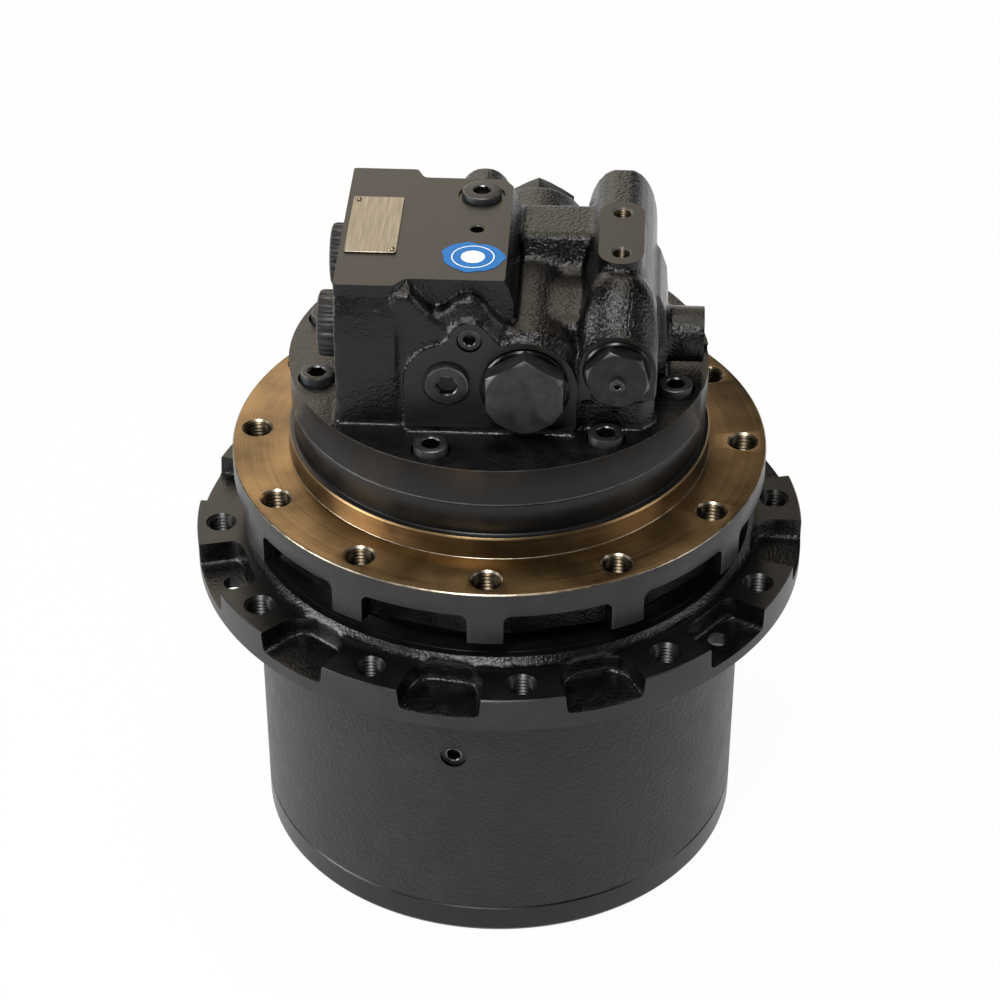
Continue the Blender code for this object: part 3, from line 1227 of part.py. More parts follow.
def make_swash_plate():
    """The wedge-shaped swash plate on its pivot, and the piston that tilts it."""
    thick = SWASH_FACE - SWASH_PIVOT_HEIGHT
    plate = rod("swash_plate", SWASH_RADIUS, SWASH_PIVOT_HEIGHT, SWASH_FACE, SHAFT_STEPS, "steel")
    slope_start = SWASH_PIVOT_X + SWASH_PIVOT_RADIUS
    wedge = [
        (slope_start, SWASH_PIVOT_HEIGHT - OVERRUN),
        (SWASH_RADIUS + OVERRUN, SWASH_PIVOT_HEIGHT - OVERRUN),
        (SWASH_RADIUS + OVERRUN, SWASH_FACE - SWASH_THIN),
        (SPEED_PISTON_X - SPEED_PISTON_RADIUS - SPEED_PISTON_RADIUS, SWASH_FACE - SWASH_THIN),
    ]
    tool = prism("wedge", wedge, -SWASH_RADIUS - OVERRUN, SWASH_RADIUS + OVERRUN)
    settle(tool, Matrix.Rotation(math.pi / 2, 4, "X"))
    edge = [
        (-SWASH_RADIUS - OVERRUN, SWASH_PIVOT_HEIGHT - OVERRUN),
        (SWASH_PIVOT_X - SWASH_PIVOT_RADIUS, SWASH_PIVOT_HEIGHT - OVERRUN),
        (SWASH_PIVOT_X - SWASH_PIVOT_RADIUS, SWASH_PIVOT_HEIGHT),
        (-SWASH_RADIUS - OVERRUN, SWASH_PIVOT_HEIGHT + thick / 2),
    ]
    back = prism("edge", edge, -SWASH_RADIUS - OVERRUN, SWASH_RADIUS + OVERRUN)
    settle(back, Matrix.Rotation(math.pi / 2, 4, "X"))
    bore = rod("bore", SWASH_BORE, SWASH_PIVOT_HEIGHT - OVERRUN, SWASH_FACE + OVERRUN, SHAFT_STEPS)
    cut(plate, tool, back, bore)
    pivot = Vector((SWASH_PIVOT_X, 0, SWASH_PIVOT_HEIGHT))
    settle(plate, Matrix.Translation(-pivot))
    plate.location = pivot
    top = SWASH_FACE - SWASH_THIN - GAP
    rod("speed_change_piston", SPEED_PISTON_RADIUS, SPEED_PISTON_BOTTOM, top, HOLE_STEPS, "steel",
        centre=(SPEED_PISTON_X, 0))


def piston_places():
    """Centres of the pistons round the shaft."""
    for index in range(PISTON_COUNT):
        angle = FULL_TURN * index / PISTON_COUNT
        yield PISTON_CIRCLE * math.cos(angle), PISTON_CIRCLE * math.sin(angle)


def make_rotating_group():
    """Cylinder block, and the pistons held by their shoes in the retainer plate."""
    barrel = [
        (SHAFT_SPLINE_RADIUS + GAP, BLOCK_BARREL_BOTTOM),
        (BLOCK_BARREL_RADIUS - DRAIN_CHAMFER, BLOCK_BARREL_BOTTOM),
        (BLOCK_BARREL_RADIUS, BLOCK_BARREL_BOTTOM + DRAIN_CHAMFER),
        (BLOCK_BARREL_RADIUS, BLOCK_BARREL_TOP),
        (SHAFT_SPLINE_RADIUS + GAP, BLOCK_BARREL_TOP),
    ]
    block = turned("cylinder_block", barrel, SHAFT_STEPS, "steel")
    tools = []
    for x, y in piston_places():
        tools.append(rod("bore", PISTON_RADIUS + ROUND_GAP, BLOCK_BARREL_BOTTOM - OVERRUN,
                         BLOCK_BARREL_TOP + OVERRUN, SMALL_STEPS, centre=(x, y)))
    cut(block, *tools)
    low = SWASH_FACE + ROUND_GAP
    plate_low = low + SHOE_HEIGHT
    group = ring("piston_set", RETAINER_BORE, RETAINER_RADIUS, plate_low, plate_low + RETAINER_THICKNESS,
                 SHAFT_STEPS, "bronze")
    tools = []
    for x, y in piston_places():
        profile = [
            (0, low),
            (PISTON_RADIUS, low),
            (PISTON_NECK_RADIUS, NECK_TOP),
            (PISTON_RADIUS, NECK_TOP + DRAIN_CHAMFER),
            (PISTON_RADIUS, PISTON_TOP),
            (0, PISTON_TOP),
        ]
        tools.append(moved(turned("piston", profile, SMALL_STEPS, "bronze", ROD_PHASE), x, y))
    weld(group, *tools)


def make_valve_plate():
    """The port plate with its two kidney slots."""
    low = BLOCK_BARREL_TOP + GAP
    plate = ring("valve_plate", VALVE_PLATE_BORE, VALVE_PLATE_RADIUS, low, CASE_TOP, SHAFT_STEPS, "bronze")
    tools = []
    for middle in (0.0, math.pi):
        start = middle - KIDNEY_HALF_ANGLE
        end = middle + KIDNEY_HALF_ANGLE
        outline = arc((0.0, 0.0), PISTON_CIRCLE + KIDNEY_HALF_WIDTH, start, end, KIDNEY_STEPS)
        outline += arc((0.0, 0.0), PISTON_CIRCLE - KIDNEY_HALF_WIDTH, end, start, KIDNEY_STEPS)
        tools.append(prism("kidney", outline, low - OVERRUN, CASE_TOP + OVERRUN))
    cut(plate, *tools)


def make_brake():
    """Parking brake: plate, disc, piston and disc spring round the cylinder block."""
    bore = CASE_UPPER_BORE - GAP
    plate_top = BRAKE_PLATE_BOTTOM + BRAKE_PLATE_THICKNESS
    disc_low = plate_top + GAP
    disc_top = disc_low + BRAKE_DISC_THICKNESS
    ring("brake_plate", BRAKE_INNER_RADIUS, bore, BRAKE_PLATE_BOTTOM, plate_top, BORE_STEPS, "steel")
    ring("brake_disc", BLOCK_BARREL_RADIUS + GAP, BRAKE_DISC_RADIUS, disc_low, disc_top, BORE_STEPS,
         "bronze")
    low = disc_top + GAP
    profile = [
        (BRAKE_INNER_RADIUS, low),
        (BRAKE_PISTON_LOWER_RADIUS, low),
        (BRAKE_PISTON_LOWER_RADIUS, BRAKE_PISTON_STEP),
        (bore, BRAKE_PISTON_STEP),
        (bore, BRAKE_PISTON_TOP),
        (BRAKE_INNER_RADIUS, BRAKE_PISTON_TOP),
    ]
    turned("brake_piston", profile, BORE_STEPS, "steel")
    spring_low = BRAKE_PISTON_TOP + GAP
    spring_top = CASE_TOP
    cone = [
        (BRAKE_SPRING_INNER, spring_low),
        (BRAKE_SPRING_INNER + BRAKE_SPRING_THICKNESS, spring_low),
        (BRAKE_SPRING_OUTER, spring_top - BRAKE_SPRING_THICKNESS),
        (BRAKE_SPRING_OUTER, spring_top),
        (BRAKE_SPRING_OUTER - BRAKE_SPRING_THICKNESS, spring_top),
        (BRAKE_SPRING_INNER, spring_low + BRAKE_SPRING_THICKNESS),
    ]
    turned("brake_spring", cone, BORE_STEPS, "steel")


def box_outline(left, right, front, back, chamfer=0.0):
    """A rectangle with cut corners, as an anticlockwise outline."""
    if chamfer == 0:
        return [(left, front), (right, front), (right, back), (left, back)]
    return [
        (left + chamfer, front),
        (right - chamfer, front),
        (right, front + chamfer),
        (right, back - chamfer),
        (right - chamfer, back),
        (left + chamfer, back),
        (left, back - chamfer),
        (left, front + chamfer),
    ]


def barrel(name, radius, x, z, front, back, steps=SHAFT_STEPS):
    """A round cast barrel along Y."""
    return facing_front(rod(name, radius, -back, -front, steps, phase=math.pi / steps), x, z)


def pad_outline():
    """Front face of the raised pad: foot, gauge arc, pilot lobe and spool arc, in (x, z)."""
    gauge = (GAUGE_X, GAUGE_Z)
    pilot = (PILOT_X, PILOT_Z)
    spool = (SPOOL_X, SPOOL_Z)
    right = SPOOL_X + PAD_ARC_RADIUS
    outline = [(PAD_LEFT, BODY_ROOT), (right, BODY_ROOT)]
    outline += arc(spool, PAD_ARC_RADIUS, 0, PAD_SPOOL_END, PAD_SPOOL_STEPS)
    outline += arc(pilot, PILOT_ARC_RADIUS, PAD_PILOT_START, math.pi, PAD_PILOT_STEPS)
    outline += arc(gauge, GAUGE_ARC_RADIUS, PAD_GAUGE_START, math.pi, PAD_GAUGE_STEPS)
    return outline


def ridge_outline():
    """Section of the cast ridge over the speed valve, in (x, z)."""
    rise = RIDGE_TOP - RIDGE_SHOULDER
    reach = RIDGE_HALF_WIDTH - RIDGE_TOP_HALF_WIDTH
    right = []
    for step in range(RIDGE_STEPS + 1):
        angle = math.pi / 2 * step / RIDGE_STEPS
        right.append((RIDGE_TOP_HALF_WIDTH + reach * math.cos(angle), RIDGE_SHOULDER + rise * math.sin(angle)))
    outline = [(SPEED_X - RIDGE_HALF_WIDTH, SPEED_Z), (SPEED_X + RIDGE_HALF_WIDTH, SPEED_Z)]
    outline += [(SPEED_X + across, height) for across, height in right]
    outline += [(SPEED_X - across, height) for across, height in reversed(right)]
    return outline


def along_y(name, outline, front, back):
    """Extrude an (x, z) outline along Y."""
    piece = prism(name, outline, -back, -front)
    return settle(piece, Matrix.Rotation(math.pi / 2, 4, "X"))


def valley_outline():
    """Side section of the valley between the body and the ridge, in (y, z)."""
    scoop = []
    for step in range(1, RIDGE_STEPS):
        angle = math.pi / 2 * step / RIDGE_STEPS
        drop = VALLEY_TOP - VALLEY_FRONT_TOP
        scoop.append((VALLEY_LEDGE - VALLEY_SCOOP * (1 - math.cos(angle)), VALLEY_TOP - drop * math.sin(angle)))
    return [
        (VALLEY_FRONT, SPEED_Z),
        (BODY_BACK_STEP, SPEED_Z),
        (BODY_BACK_STEP, VALLEY_TOP),
        (VALLEY_LEDGE, VALLEY_TOP),
        *scoop,
        (VALLEY_LEDGE - VALLEY_SCOOP, VALLEY_FRONT_TOP),
        (VALLEY_FRONT + BODY_CHAMFER, VALLEY_FRONT_TOP),
        (VALLEY_FRONT, VALLEY_FRONT_TOP - BODY_CHAMFER),
    ]


def along_x(name, outline, left, right):
    """Extrude a (y, z) outline along X."""
    piece = prism(name, outline, left, right)
    turn = Matrix(((0, 0, 1, 0), (1, 0, 0, 0), (0, 1, 0, 0), (0, 0, 0, 1)))
    return settle(piece, turn)


def body_outline():
    """Plan of the cast body under the machined top, in (x, y)."""
    return [
        (BODY_LEFT, BODY_FRONT),
        (BODY_SET_BACK_X - BODY_CHAMFER, BODY_FRONT),
        (BODY_SET_BACK_X, BODY_SET_BACK),
        (BODY_RIGHT, BODY_SET_BACK),
        (BODY_RIGHT, BODY_BACK_STEP - BODY_CHAMFER),
        (BODY_RIGHT - BODY_CHAMFER, BODY_BACK_STEP),
        (BODY_SET_BACK_X + BODY_CHAMFER, BODY_BACK_STEP),
        (BODY_SET_BACK_X, BODY_BACK),
        (BODY_LEFT, BODY_BACK),
    ]


def lug_outline():
    """Plan of the machined lug on the ridge, in (x, y)."""
    outline = arc((SPEED_X, LUG_FRONT_Y), LUG_RADIUS, math.pi, FULL_TURN, SMALL_STEPS)
    outline += arc((SPEED_X, LUG_BACK_Y), LUG_RADIUS, 0, math.pi, SMALL_STEPS)
    return outline


def block_castings():
    """The cast volumes that make up the valve block above its base."""
    draft = 1 + BODY_DRAFT / -BODY_LEFT
    rear = box_outline(BODY_LEFT, REAR_BODY_RIGHT, BODY_BACK_STEP - BODY_CHAMFER, REAR_BODY_BACK,
                       REAR_BODY_CHAMFER)
    foot = box_outline(FOOT_LEFT, FOOT_RIGHT, FOOT_FRONT, FOOT_BACK, BODY_CHAMFER)
    inner = box_outline(BODY_RIGHT - BODY_CHAMFER, FOOT_LEFT + BODY_CHAMFER, VALLEY_FRONT, FOOT_BACK)
    web = [
        (FOOT_RIGHT - OVERRUN, BODY_ROOT),
        (WEB_RIGHT, BODY_ROOT),
        (WEB_RIGHT, WEB_TOP - WEB_SLOPE),
        (FOOT_RIGHT - OVERRUN, WEB_TOP),
    ]
    port = rod("drain_boss", DRAIN_RADIUS, SPEED_X, DRAIN_END, SHAFT_STEPS)
    return [
        prism("body", body_outline(), BODY_ROOT, BLOCK_TOP, scale_low=(draft, draft)),
        prism("rear_body", rear, BODY_ROOT, REAR_BODY_TOP),
        prism("inner_body", inner, BODY_ROOT, SPEED_Z),
        prism("foot", foot, BODY_ROOT, SPEED_Z),
        along_x("valley", valley_outline(), VALLEY_LEFT, VALLEY_RIGHT),
        barrel("spool_barrel", SPOOL_BARREL_RADIUS, SPOOL_X, SPOOL_Z, SPOOL_BARREL_FRONT, SPOOL_BARREL_BACK),
        barrel("pilot_barrel", PILOT_BARREL_RADIUS, PILOT_X, PILOT_Z, BODY_FRONT, PILOT_BARREL_BACK,
               HOLE_STEPS),
        barrel("speed_barrel", SPEED_BARREL_RADIUS, SPEED_X, SPEED_Z, SPEED_BARREL_FRONT, SPEED_BARREL_BACK),
        along_y("pad", pad_outline(), PAD_FACE, PAD_BACK),
        along_y("ridge", ridge_outline(), RIDGE_FRONT, RIDGE_BACK),
        prism("lug", lug_outline(), RIDGE_SHOULDER, BLOCK_TOP),
        along_y("web", web, WEB_FRONT, WEB_BACK),
        facing_side(port, DRAIN_Y, DRAIN_Z, 1),
    ] + [cap_face(y) for y in (CAP_FRONT_Y, CAP_BACK_Y)]


def cap_face(y):
    """The raised round face under one port cap."""
    face = rod("port_face", CAP_FACE_PAD, -BODY_LEFT - OVERRUN - OVERRUN, -BODY_LEFT + CAP_FACE_PROUD,
               SHAFT_STEPS)
    return facing_side(face, y, CAP_HEIGHT, -1)


def block_cuts():
    """Bores, seats and spot faces of the valve block."""
    bore_front = -PAD_FACE + OVERRUN
    seat_front = -PAD_FACE - BIG_PLUG_SPOT
    back_seat = SPOOL_BARREL_BACK - BIG_PLUG_SPOT
    spot = BIG_PLUG_COLLAR + ROUND_GAP
    tools = [
        facing_front(rod("spool_bore", SPOOL_BORE + GAP, -SPOOL_BARREL_BACK - OVERRUN, bore_front,
                         SHAFT_STEPS), SPOOL_X, SPOOL_Z),
        facing_front(rod("front_thread", BIG_PLUG_THREAD + ROUND_GAP, seat_front - BIG_PLUG_LENGTH - GAP,
                         bore_front, SHAFT_STEPS), SPOOL_X, SPOOL_Z),
        facing_front(rod("front_spot", spot, seat_front, bore_front, SHAFT_STEPS), SPOOL_X, SPOOL_Z),
        facing_back(rod("back_thread", BIG_PLUG_THREAD + ROUND_GAP, back_seat - BIG_PLUG_LENGTH - GAP,
                        SPOOL_BARREL_BACK + OVERRUN, SHAFT_STEPS), SPOOL_X, SPOOL_Z),
        facing_back(rod("back_spot", spot, back_seat, SPOOL_BARREL_BACK + OVERRUN, SHAFT_STEPS),
                    SPOOL_X, SPOOL_Z),
        facing_front(rod("speed_bore", SPEED_BORE + GAP, speed_bore_end(), -SPEED_BARREL_FRONT + OVERRUN,
                         PLUG_STEPS), SPEED_X, SPEED_Z),
        facing_front(rod("speed_thread", SPEED_PLUG_THREAD + ROUND_GAP,
                         -SPEED_BARREL_FRONT - SPEED_PLUG_LENGTH - GAP,
                         -SPEED_BARREL_FRONT + OVERRUN, PLUG_STEPS), SPEED_X, SPEED_Z),
        facing_front(rod("gauge_thread", GAUGE_PLUG_THREAD + GAP,
                         -PAD_FACE - GAUGE_PLUG_HEAD - GAUGE_PLUG_LENGTH, bore_front, PLUG_STEPS),
                     GAUGE_X, GAUGE_Z),
        facing_front(rod("gauge_seat", GAUGE_PLUG_RADIUS + ROUND_GAP, -PAD_FACE - GAUGE_PLUG_HEAD - GAP,
                         bore_front, PLUG_STEPS), GAUGE_X, GAUGE_Z),
        facing_front(rod("pilot_seat", PILOT_PLUG_RADIUS + GAP, -PAD_FACE - GAUGE_PLUG_LENGTH,
                         bore_front, PLUG_STEPS), PILOT_X, PILOT_Z),
        facing_side(rod("drain_bore", DRAIN_BORE, DRAIN_END - DRAIN_BORE_DEPTH, DRAIN_END + OVERRUN,
                        PLUG_STEPS), DRAIN_Y, DRAIN_Z, 1),
        rod("shaft_bore", SHAFT_STUB_RADIUS + ROUND_GAP, BLOCK_BOTTOM - OVERRUN, SHAFT_TOP + GAP, PLUG_STEPS),
        rod("top_spot", TOP_PLUG_SPOT, BLOCK_TOP - TOP_PLUG_SPOT_DEPTH, BLOCK_TOP + OVERRUN, PLUG_STEPS,
            centre=(TOP_PLUG_X, TOP_PLUG_Y)),
        rod("top_thread", GAUGE_PLUG_THREAD + GAP, BLOCK_TOP - TOP_PLUG_SPOT_DEPTH - GAUGE_PLUG_LENGTH,
            BLOCK_TOP + OVERRUN, PLUG_STEPS, centre=(TOP_PLUG_X, TOP_PLUG_Y)),
        rod("top_tap", TOP_TAP_RADIUS, BLOCK_TOP - LUG_HOLE_DEPTH, BLOCK_TOP + OVERRUN, HOLE_STEPS,
            centre=(TOP_TAP_X, TOP_TAP_Y)),
    ]
    for y in (LUG_FRONT_Y, LUG_BACK_Y):
        tools.append(rod("lug_tap", LUG_HOLE_RADIUS, BLOCK_TOP - LUG_HOLE_DEPTH, BLOCK_TOP + OVERRUN,
                         HOLE_STEPS, centre=(SPEED_X, y)))
    for y in (CAP_FRONT_Y, CAP_BACK_Y):
        tools.append(facing_side(rod("port", CAP_THREAD + ROUND_GAP, -BODY_LEFT - CAP_THREAD_LENGTH - GAP,
                                     -BODY_LEFT + OVERRUN + OVERRUN, PLUG_STEPS), y, CAP_HEIGHT, -1))
    for x, y in block_bolt_places():
        tools.append(rod("bolt_shank", BLOCK_BOLT_HOLE, BLOCK_BOTTOM - OVERRUN, BLOCK_BASE_TOP,
                         SMALL_STEPS, centre=(x, y)))
        tools.append(rod("bolt_access", BLOCK_BOLT_SPOT, BLOCK_BASE_TOP - GAP,
                         BLOCK_BASE_TOP + BLOCK_BOLT_REACH, PLUG_STEPS, centre=(x, y)))
    return tools


def speed_bore_end():
    """Blind end of the speed valve bore, as a distance in front of the axis."""
    return -FOOT_BACK + BODY_CHAMFER


def make_valve_block():
    """The motor's rear cover with the counterbalance and speed valves."""
    profile = [
        (0, BLOCK_BOTTOM),
        (BLOCK_BASE_RADIUS, BLOCK_BOTTOM),
        (BLOCK_BASE_RADIUS, BLOCK_BASE_TOP - BLOCK_BASE_EDGE),
        (BLOCK_BASE_RADIUS - BLOCK_BASE_EDGE, BLOCK_BASE_TOP),
        (0, BLOCK_BASE_TOP),
    ]
    block = turned("valve_block", profile, RING_STEPS, "black_paint")
    for piece in block_castings():
        weld(block, piece)
    cut(block, *block_cuts())


def make_block_plugs():
    """Plugs and screws that close the valve block."""
    front = hex_plug("front_spool_plug", BIG_PLUG_HEX, BIG_PLUG_HEX_HEIGHT, BIG_PLUG_COLLAR,
                     BIG_PLUG_COLLAR_HEIGHT, BIG_PLUG_THREAD, BIG_PLUG_LENGTH)
    moved(front, 0, 0, -PAD_FACE - BIG_PLUG_SPOT + GAP)
    facing_front(front, SPOOL_X, SPOOL_Z)
    back = hex_plug("rear_spool_plug", BIG_PLUG_HEX, BIG_PLUG_HEX_HEIGHT, BIG_PLUG_COLLAR,
                    BIG_PLUG_COLLAR_HEIGHT, BIG_PLUG_THREAD, BIG_PLUG_LENGTH)
    moved(back, 0, 0, SPOOL_BARREL_BACK - BIG_PLUG_SPOT + GAP)
    facing_back(back, SPOOL_X, SPOOL_Z)
    speed = hex_plug("speed_valve_plug", SPEED_PLUG_HEX, SPEED_PLUG_HEX_HEIGHT, SPEED_PLUG_COLLAR,
                     SPEED_PLUG_COLLAR_HEIGHT, SPEED_PLUG_THREAD, SPEED_PLUG_LENGTH, math.radians(12))
    top = SPEED_PLUG_COLLAR_HEIGHT + SPEED_PLUG_HEX_HEIGHT
    cut(speed, rod("bleed_bore", BLEED_BORE + GAP, top - BLEED_DEPTH, top + OVERRUN, HOLE_STEPS,
                   centre=(0, -BLEED_DROP)))
    moved(speed, 0, 0, -SPEED_BARREL_FRONT + GAP)
    facing_front(speed, SPEED_X, SPEED_Z)
    bleed = rod("bleed_screw", BLEED_BORE, top - BLEED_DEPTH + GAP, top + BLEED_PROUD, HOLE_STEPS,
                "black_oxide", centre=(0, -BLEED_DROP))
    cut(bleed, rod("key", BLEED_SOCKET, top, top + BLEED_PROUD + OVERRUN, HEX_SIDES,
                   centre=(0, -BLEED_DROP)))
    moved(bleed, 0, 0, -SPEED_BARREL_FRONT + GAP)
    facing_front(bleed, SPEED_X, SPEED_Z)
    gauge = socket_plug("gauge_port_plug", GAUGE_PLUG_RADIUS, GAUGE_PLUG_HEAD, GAUGE_PLUG_THREAD,
                        GAUGE_PLUG_LENGTH - OVERRUN, GAUGE_PLUG_SOCKET, SOCKET_DEPTH)
    moved(gauge, 0, 0, -PAD_FACE)
    facing_front(gauge, GAUGE_X, GAUGE_Z)
    pilot = rod("pilot_port_plug", PILOT_PLUG_RADIUS, -GAUGE_PLUG_LENGTH + GAP, -SPOT_DEPTH, PLUG_STEPS,
                "black_oxide")
    cut(pilot, hex_key("key", PILOT_PLUG_SOCKET, -SOCKET_DEPTH, OVERRUN))
    moved(pilot, 0, 0, -PAD_FACE)
    facing_front(pilot, PILOT_X, PILOT_Z)
    head = TOP_PLUG_PROUD + TOP_PLUG_SPOT_DEPTH - GAP
    top_plug = socket_plug("top_port_plug", TOP_PLUG_RADIUS, head, GAUGE_PLUG_THREAD,
                           GAUGE_PLUG_LENGTH - OVERRUN, TOP_PLUG_SOCKET, SOCKET_DEPTH)
    moved(top_plug, TOP_PLUG_X, TOP_PLUG_Y, BLOCK_TOP + TOP_PLUG_PROUD)


def make_port_caps():
    """The two plastic shipping caps screwed into the main ports."""
    for name, y in (("front_port_cap", CAP_FRONT_Y), ("rear_port_cap", CAP_BACK_Y)):
        low = CAP_FACE_PROUD + GAP
        profile = [
            (0, -CAP_THREAD_LENGTH),
            (CAP_THREAD, -CAP_THREAD_LENGTH),
            (CAP_THREAD, low),
            (CAP_RADIUS, low),
            (CAP_RADIUS, low + CAP_THICKNESS - CAP_EDGE),
            (CAP_RADIUS - CAP_EDGE, low + CAP_THICKNESS),
            (0, low + CAP_THICKNESS),
        ]
        cap = turned(name, profile, SHAFT_STEPS, "plastic")
        moved(cap, 0, 0, -BODY_LEFT)
        facing_side(cap, y, CAP_HEIGHT, -1)


def make_block_bolts():
    """Socket head bolts round the base of the valve block."""
    for index, (x, y) in enumerate(block_bolt_places()):
        head_low = BLOCK_BASE_TOP
        profile = [
            (0, bolt_end()),
            (BLOCK_BOLT_SHANK, bolt_end()),
            (BLOCK_BOLT_SHANK, head_low),
            (BLOCK_BOLT_HEAD, head_low),
            (BLOCK_BOLT_HEAD, head_low + BLOCK_BOLT_HEAD_HEIGHT),
            (0, head_low + BLOCK_BOLT_HEAD_HEIGHT),
        ]
        bolt = turned(f"block_bolt_{index + 1}", profile, HOLE_STEPS, "black_oxide")
        top = head_low + BLOCK_BOLT_HEAD_HEIGHT
        cut(bolt, hex_key("key", BLOCK_BOLT_SOCKET, top - BLOCK_BOLT_HEAD_HEIGHT / 2, top + OVERRUN))
        moved(bolt, x, y)


def make_name_plate():
    """The bare aluminium plate on the machined top."""
    low = BLOCK_TOP + GAP / 2
    outline = box_outline(PLATE_LEFT, PLATE_RIGHT, PLATE_FRONT, PLATE_BACK, PLATE_CORNER)
    prism("blank_plate", outline, low, low + PLATE_THICKNESS, "aluminium")


def make_spool(name, land, half, place):
    """A valve spool along Y: three lands and two waists, with its origin at its middle."""
    waist = land * SPOOL_WAIST_SHARE
    upper = []
    for radius, share in ((land, LAND_EDGE_SHARE), (waist, MIDDLE_SHARE), (land, END_LAND_SHARE),
                          (land, 1), (0, 1)):
        upper.append((radius, half * share))
    lower = [(radius, -height) for radius, height in reversed(upper)]
    spool = turned(name, lower + upper, PLUG_STEPS, "steel")
    settle(spool, Matrix.Rotation(math.pi / 2, 4, "X"))
    spool.location = place


def make_spools():
    """The counterbalance spool and the speed spool."""
    make_spool("counterbalance_spool", SPOOL_BORE, SPOOL_HALF_LENGTH,
               (SPOOL_X, (PAD_FACE + SPOOL_BARREL_BACK) / 2, SPOOL_Z))
    make_spool("speed_change_spool", SPEED_BORE, SPEED_SPOOL_HALF_LENGTH, (SPEED_X, SPEED_SPOOL_Y, SPEED_Z))


def build():
    """Make every piece of the drive."""
    clear_scene()
    make_end_cover()
    make_cover_plugs()
    make_housing()
    make_side_plug()
    make_main_bearings()
    make_floating_seal()
    make_motor_case()
    make_spindle_nut()
    make_planets(1, PLANET_1_COUNT, SUN_1_TEETH, PLANET_1_TEETH, PLANET_1_BOTTOM, PLANET_1_FACE,
                 PLANET_1_PIN_RADIUS)
    make_planets(2, PLANET_2_COUNT, SUN_2_TEETH, PLANET_2_TEETH, PLANET_2_BOTTOM, PLANET_2_FACE,
                 PLANET_2_PIN_RADIUS)
    make_carrier_1()
    make_suns()
    make_carrier_2()
    make_shaft()
    make_swash_plate()
    make_rotating_group()
    make_valve_plate()
    make_brake()
    make_valve_block()
    make_block_plugs()
    make_port_caps()
    make_block_bolts()
    make_name_plate()
    make_spools()


build()
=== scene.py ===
"""Looks of the excavator final drive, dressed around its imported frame.

Sizes are in millimetres in the row frame and become metres where a mesh is made.
Castings are grown from rough cores, softened the way sand moulds soften an edge, and
then machined with crisp cuts, so paint over sand and paint over a milled face differ.
"""

import logging
import math
from collections.abc import Iterable, Sequence
from dataclasses import dataclass
from enum import Enum

import bmesh
import bpy
from mathutils import Matrix, Vector


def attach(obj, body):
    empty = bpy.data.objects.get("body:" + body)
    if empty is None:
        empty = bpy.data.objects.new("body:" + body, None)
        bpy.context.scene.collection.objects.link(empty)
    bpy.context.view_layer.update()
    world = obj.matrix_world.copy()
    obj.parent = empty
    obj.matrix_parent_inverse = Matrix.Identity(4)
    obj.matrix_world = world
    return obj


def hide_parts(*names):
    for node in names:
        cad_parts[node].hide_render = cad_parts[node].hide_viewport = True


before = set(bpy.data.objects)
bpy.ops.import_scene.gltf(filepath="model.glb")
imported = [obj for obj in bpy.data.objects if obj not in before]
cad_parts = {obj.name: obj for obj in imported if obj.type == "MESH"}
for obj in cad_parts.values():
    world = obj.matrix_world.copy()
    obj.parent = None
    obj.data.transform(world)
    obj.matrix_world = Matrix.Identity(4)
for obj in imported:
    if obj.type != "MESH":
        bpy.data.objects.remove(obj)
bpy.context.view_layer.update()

LOG = logging.getLogger("final_drive")
MM = 0.001
METRE = 1000.0
TURN = 2 * math.pi
Point = tuple[float, float]


class Side(Enum):
    """Which way a piece built along +Z is turned to face."""

    UP = "up"
    DOWN = "down"
    FRONT = "front"
    BACK = "back"
    LEFT = "left"
    RIGHT = "right"

    def matrix(self) -> Matrix:
        """Give the turn from +Z to this side.

        Returns:
            A rotation matrix.
        """
        quarter = math.pi / 2
        turns = {
            Side.UP: Matrix.Identity(4),
            Side.DOWN: Matrix.Rotation(math.pi, 4, "X"),
            Side.FRONT: Matrix.Rotation(quarter, 4, "X"),
            Side.BACK: Matrix.Rotation(-quarter, 4, "X"),
            Side.LEFT: Matrix.Rotation(-quarter, 4, "Y"),
            Side.RIGHT: Matrix.Rotation(quarter, 4, "Y"),
        }
        return turns[self]


# ---- materials


def linear(colour: str) -> tuple[float, float, float, float]:
    """Turn an sRGB hex colour into a linear one.

    Args:
        colour: six hex digits after a hash.

    Returns:
        Linear red, green, blue and an alpha of one.
    """
    channels = [int(colour[at : at + 2], 16) / 255 for at in (1, 3, 5)]
    curved = [c / 12.92 if c <= 0.04045 else ((c + 0.055) / 1.055) ** 2.4 for c in channels]
    return (*curved, 1.0)


def connect(tree: bpy.types.NodeTree, node: bpy.types.Node, inputs: dict) -> None:
    """Give a node's sockets their values and links.

    Args:
        tree: the node tree.
        node: the node to feed.
        inputs: socket name or number to a value, or to an output socket to link.
    """
    for socket, value in inputs.items():
        if isinstance(value, bpy.types.NodeSocket):
            tree.links.new(value, node.inputs[socket])
        else:
            node.inputs[socket].default_value = value


def add_node(tree: bpy.types.NodeTree, kind: str, inputs: dict | None = None,
             stops: dict[float, str] | None = None, **settings: object) -> bpy.types.Node:
    """Add a shader node with its settings, values and links.

    Args:
        tree: the node tree to add to.
        kind: the node's type name without its ShaderNode prefix.
        inputs: socket name or number to a value, or to an output socket to link.
        stops: position to hex colour, where the node has a colour ramp.
        settings: attributes of the node.

    Returns:
        The new node.
    """
    made = tree.nodes.new("ShaderNode" + kind)
    for name, value in settings.items():
        setattr(made, name, value)
    connect(tree, made, inputs or {})
    for number, (position, colour) in enumerate((stops or {}).items()):
        made.color_ramp.elements[number].position = position
        made.color_ramp.elements[number].color = linear(colour)
    return made


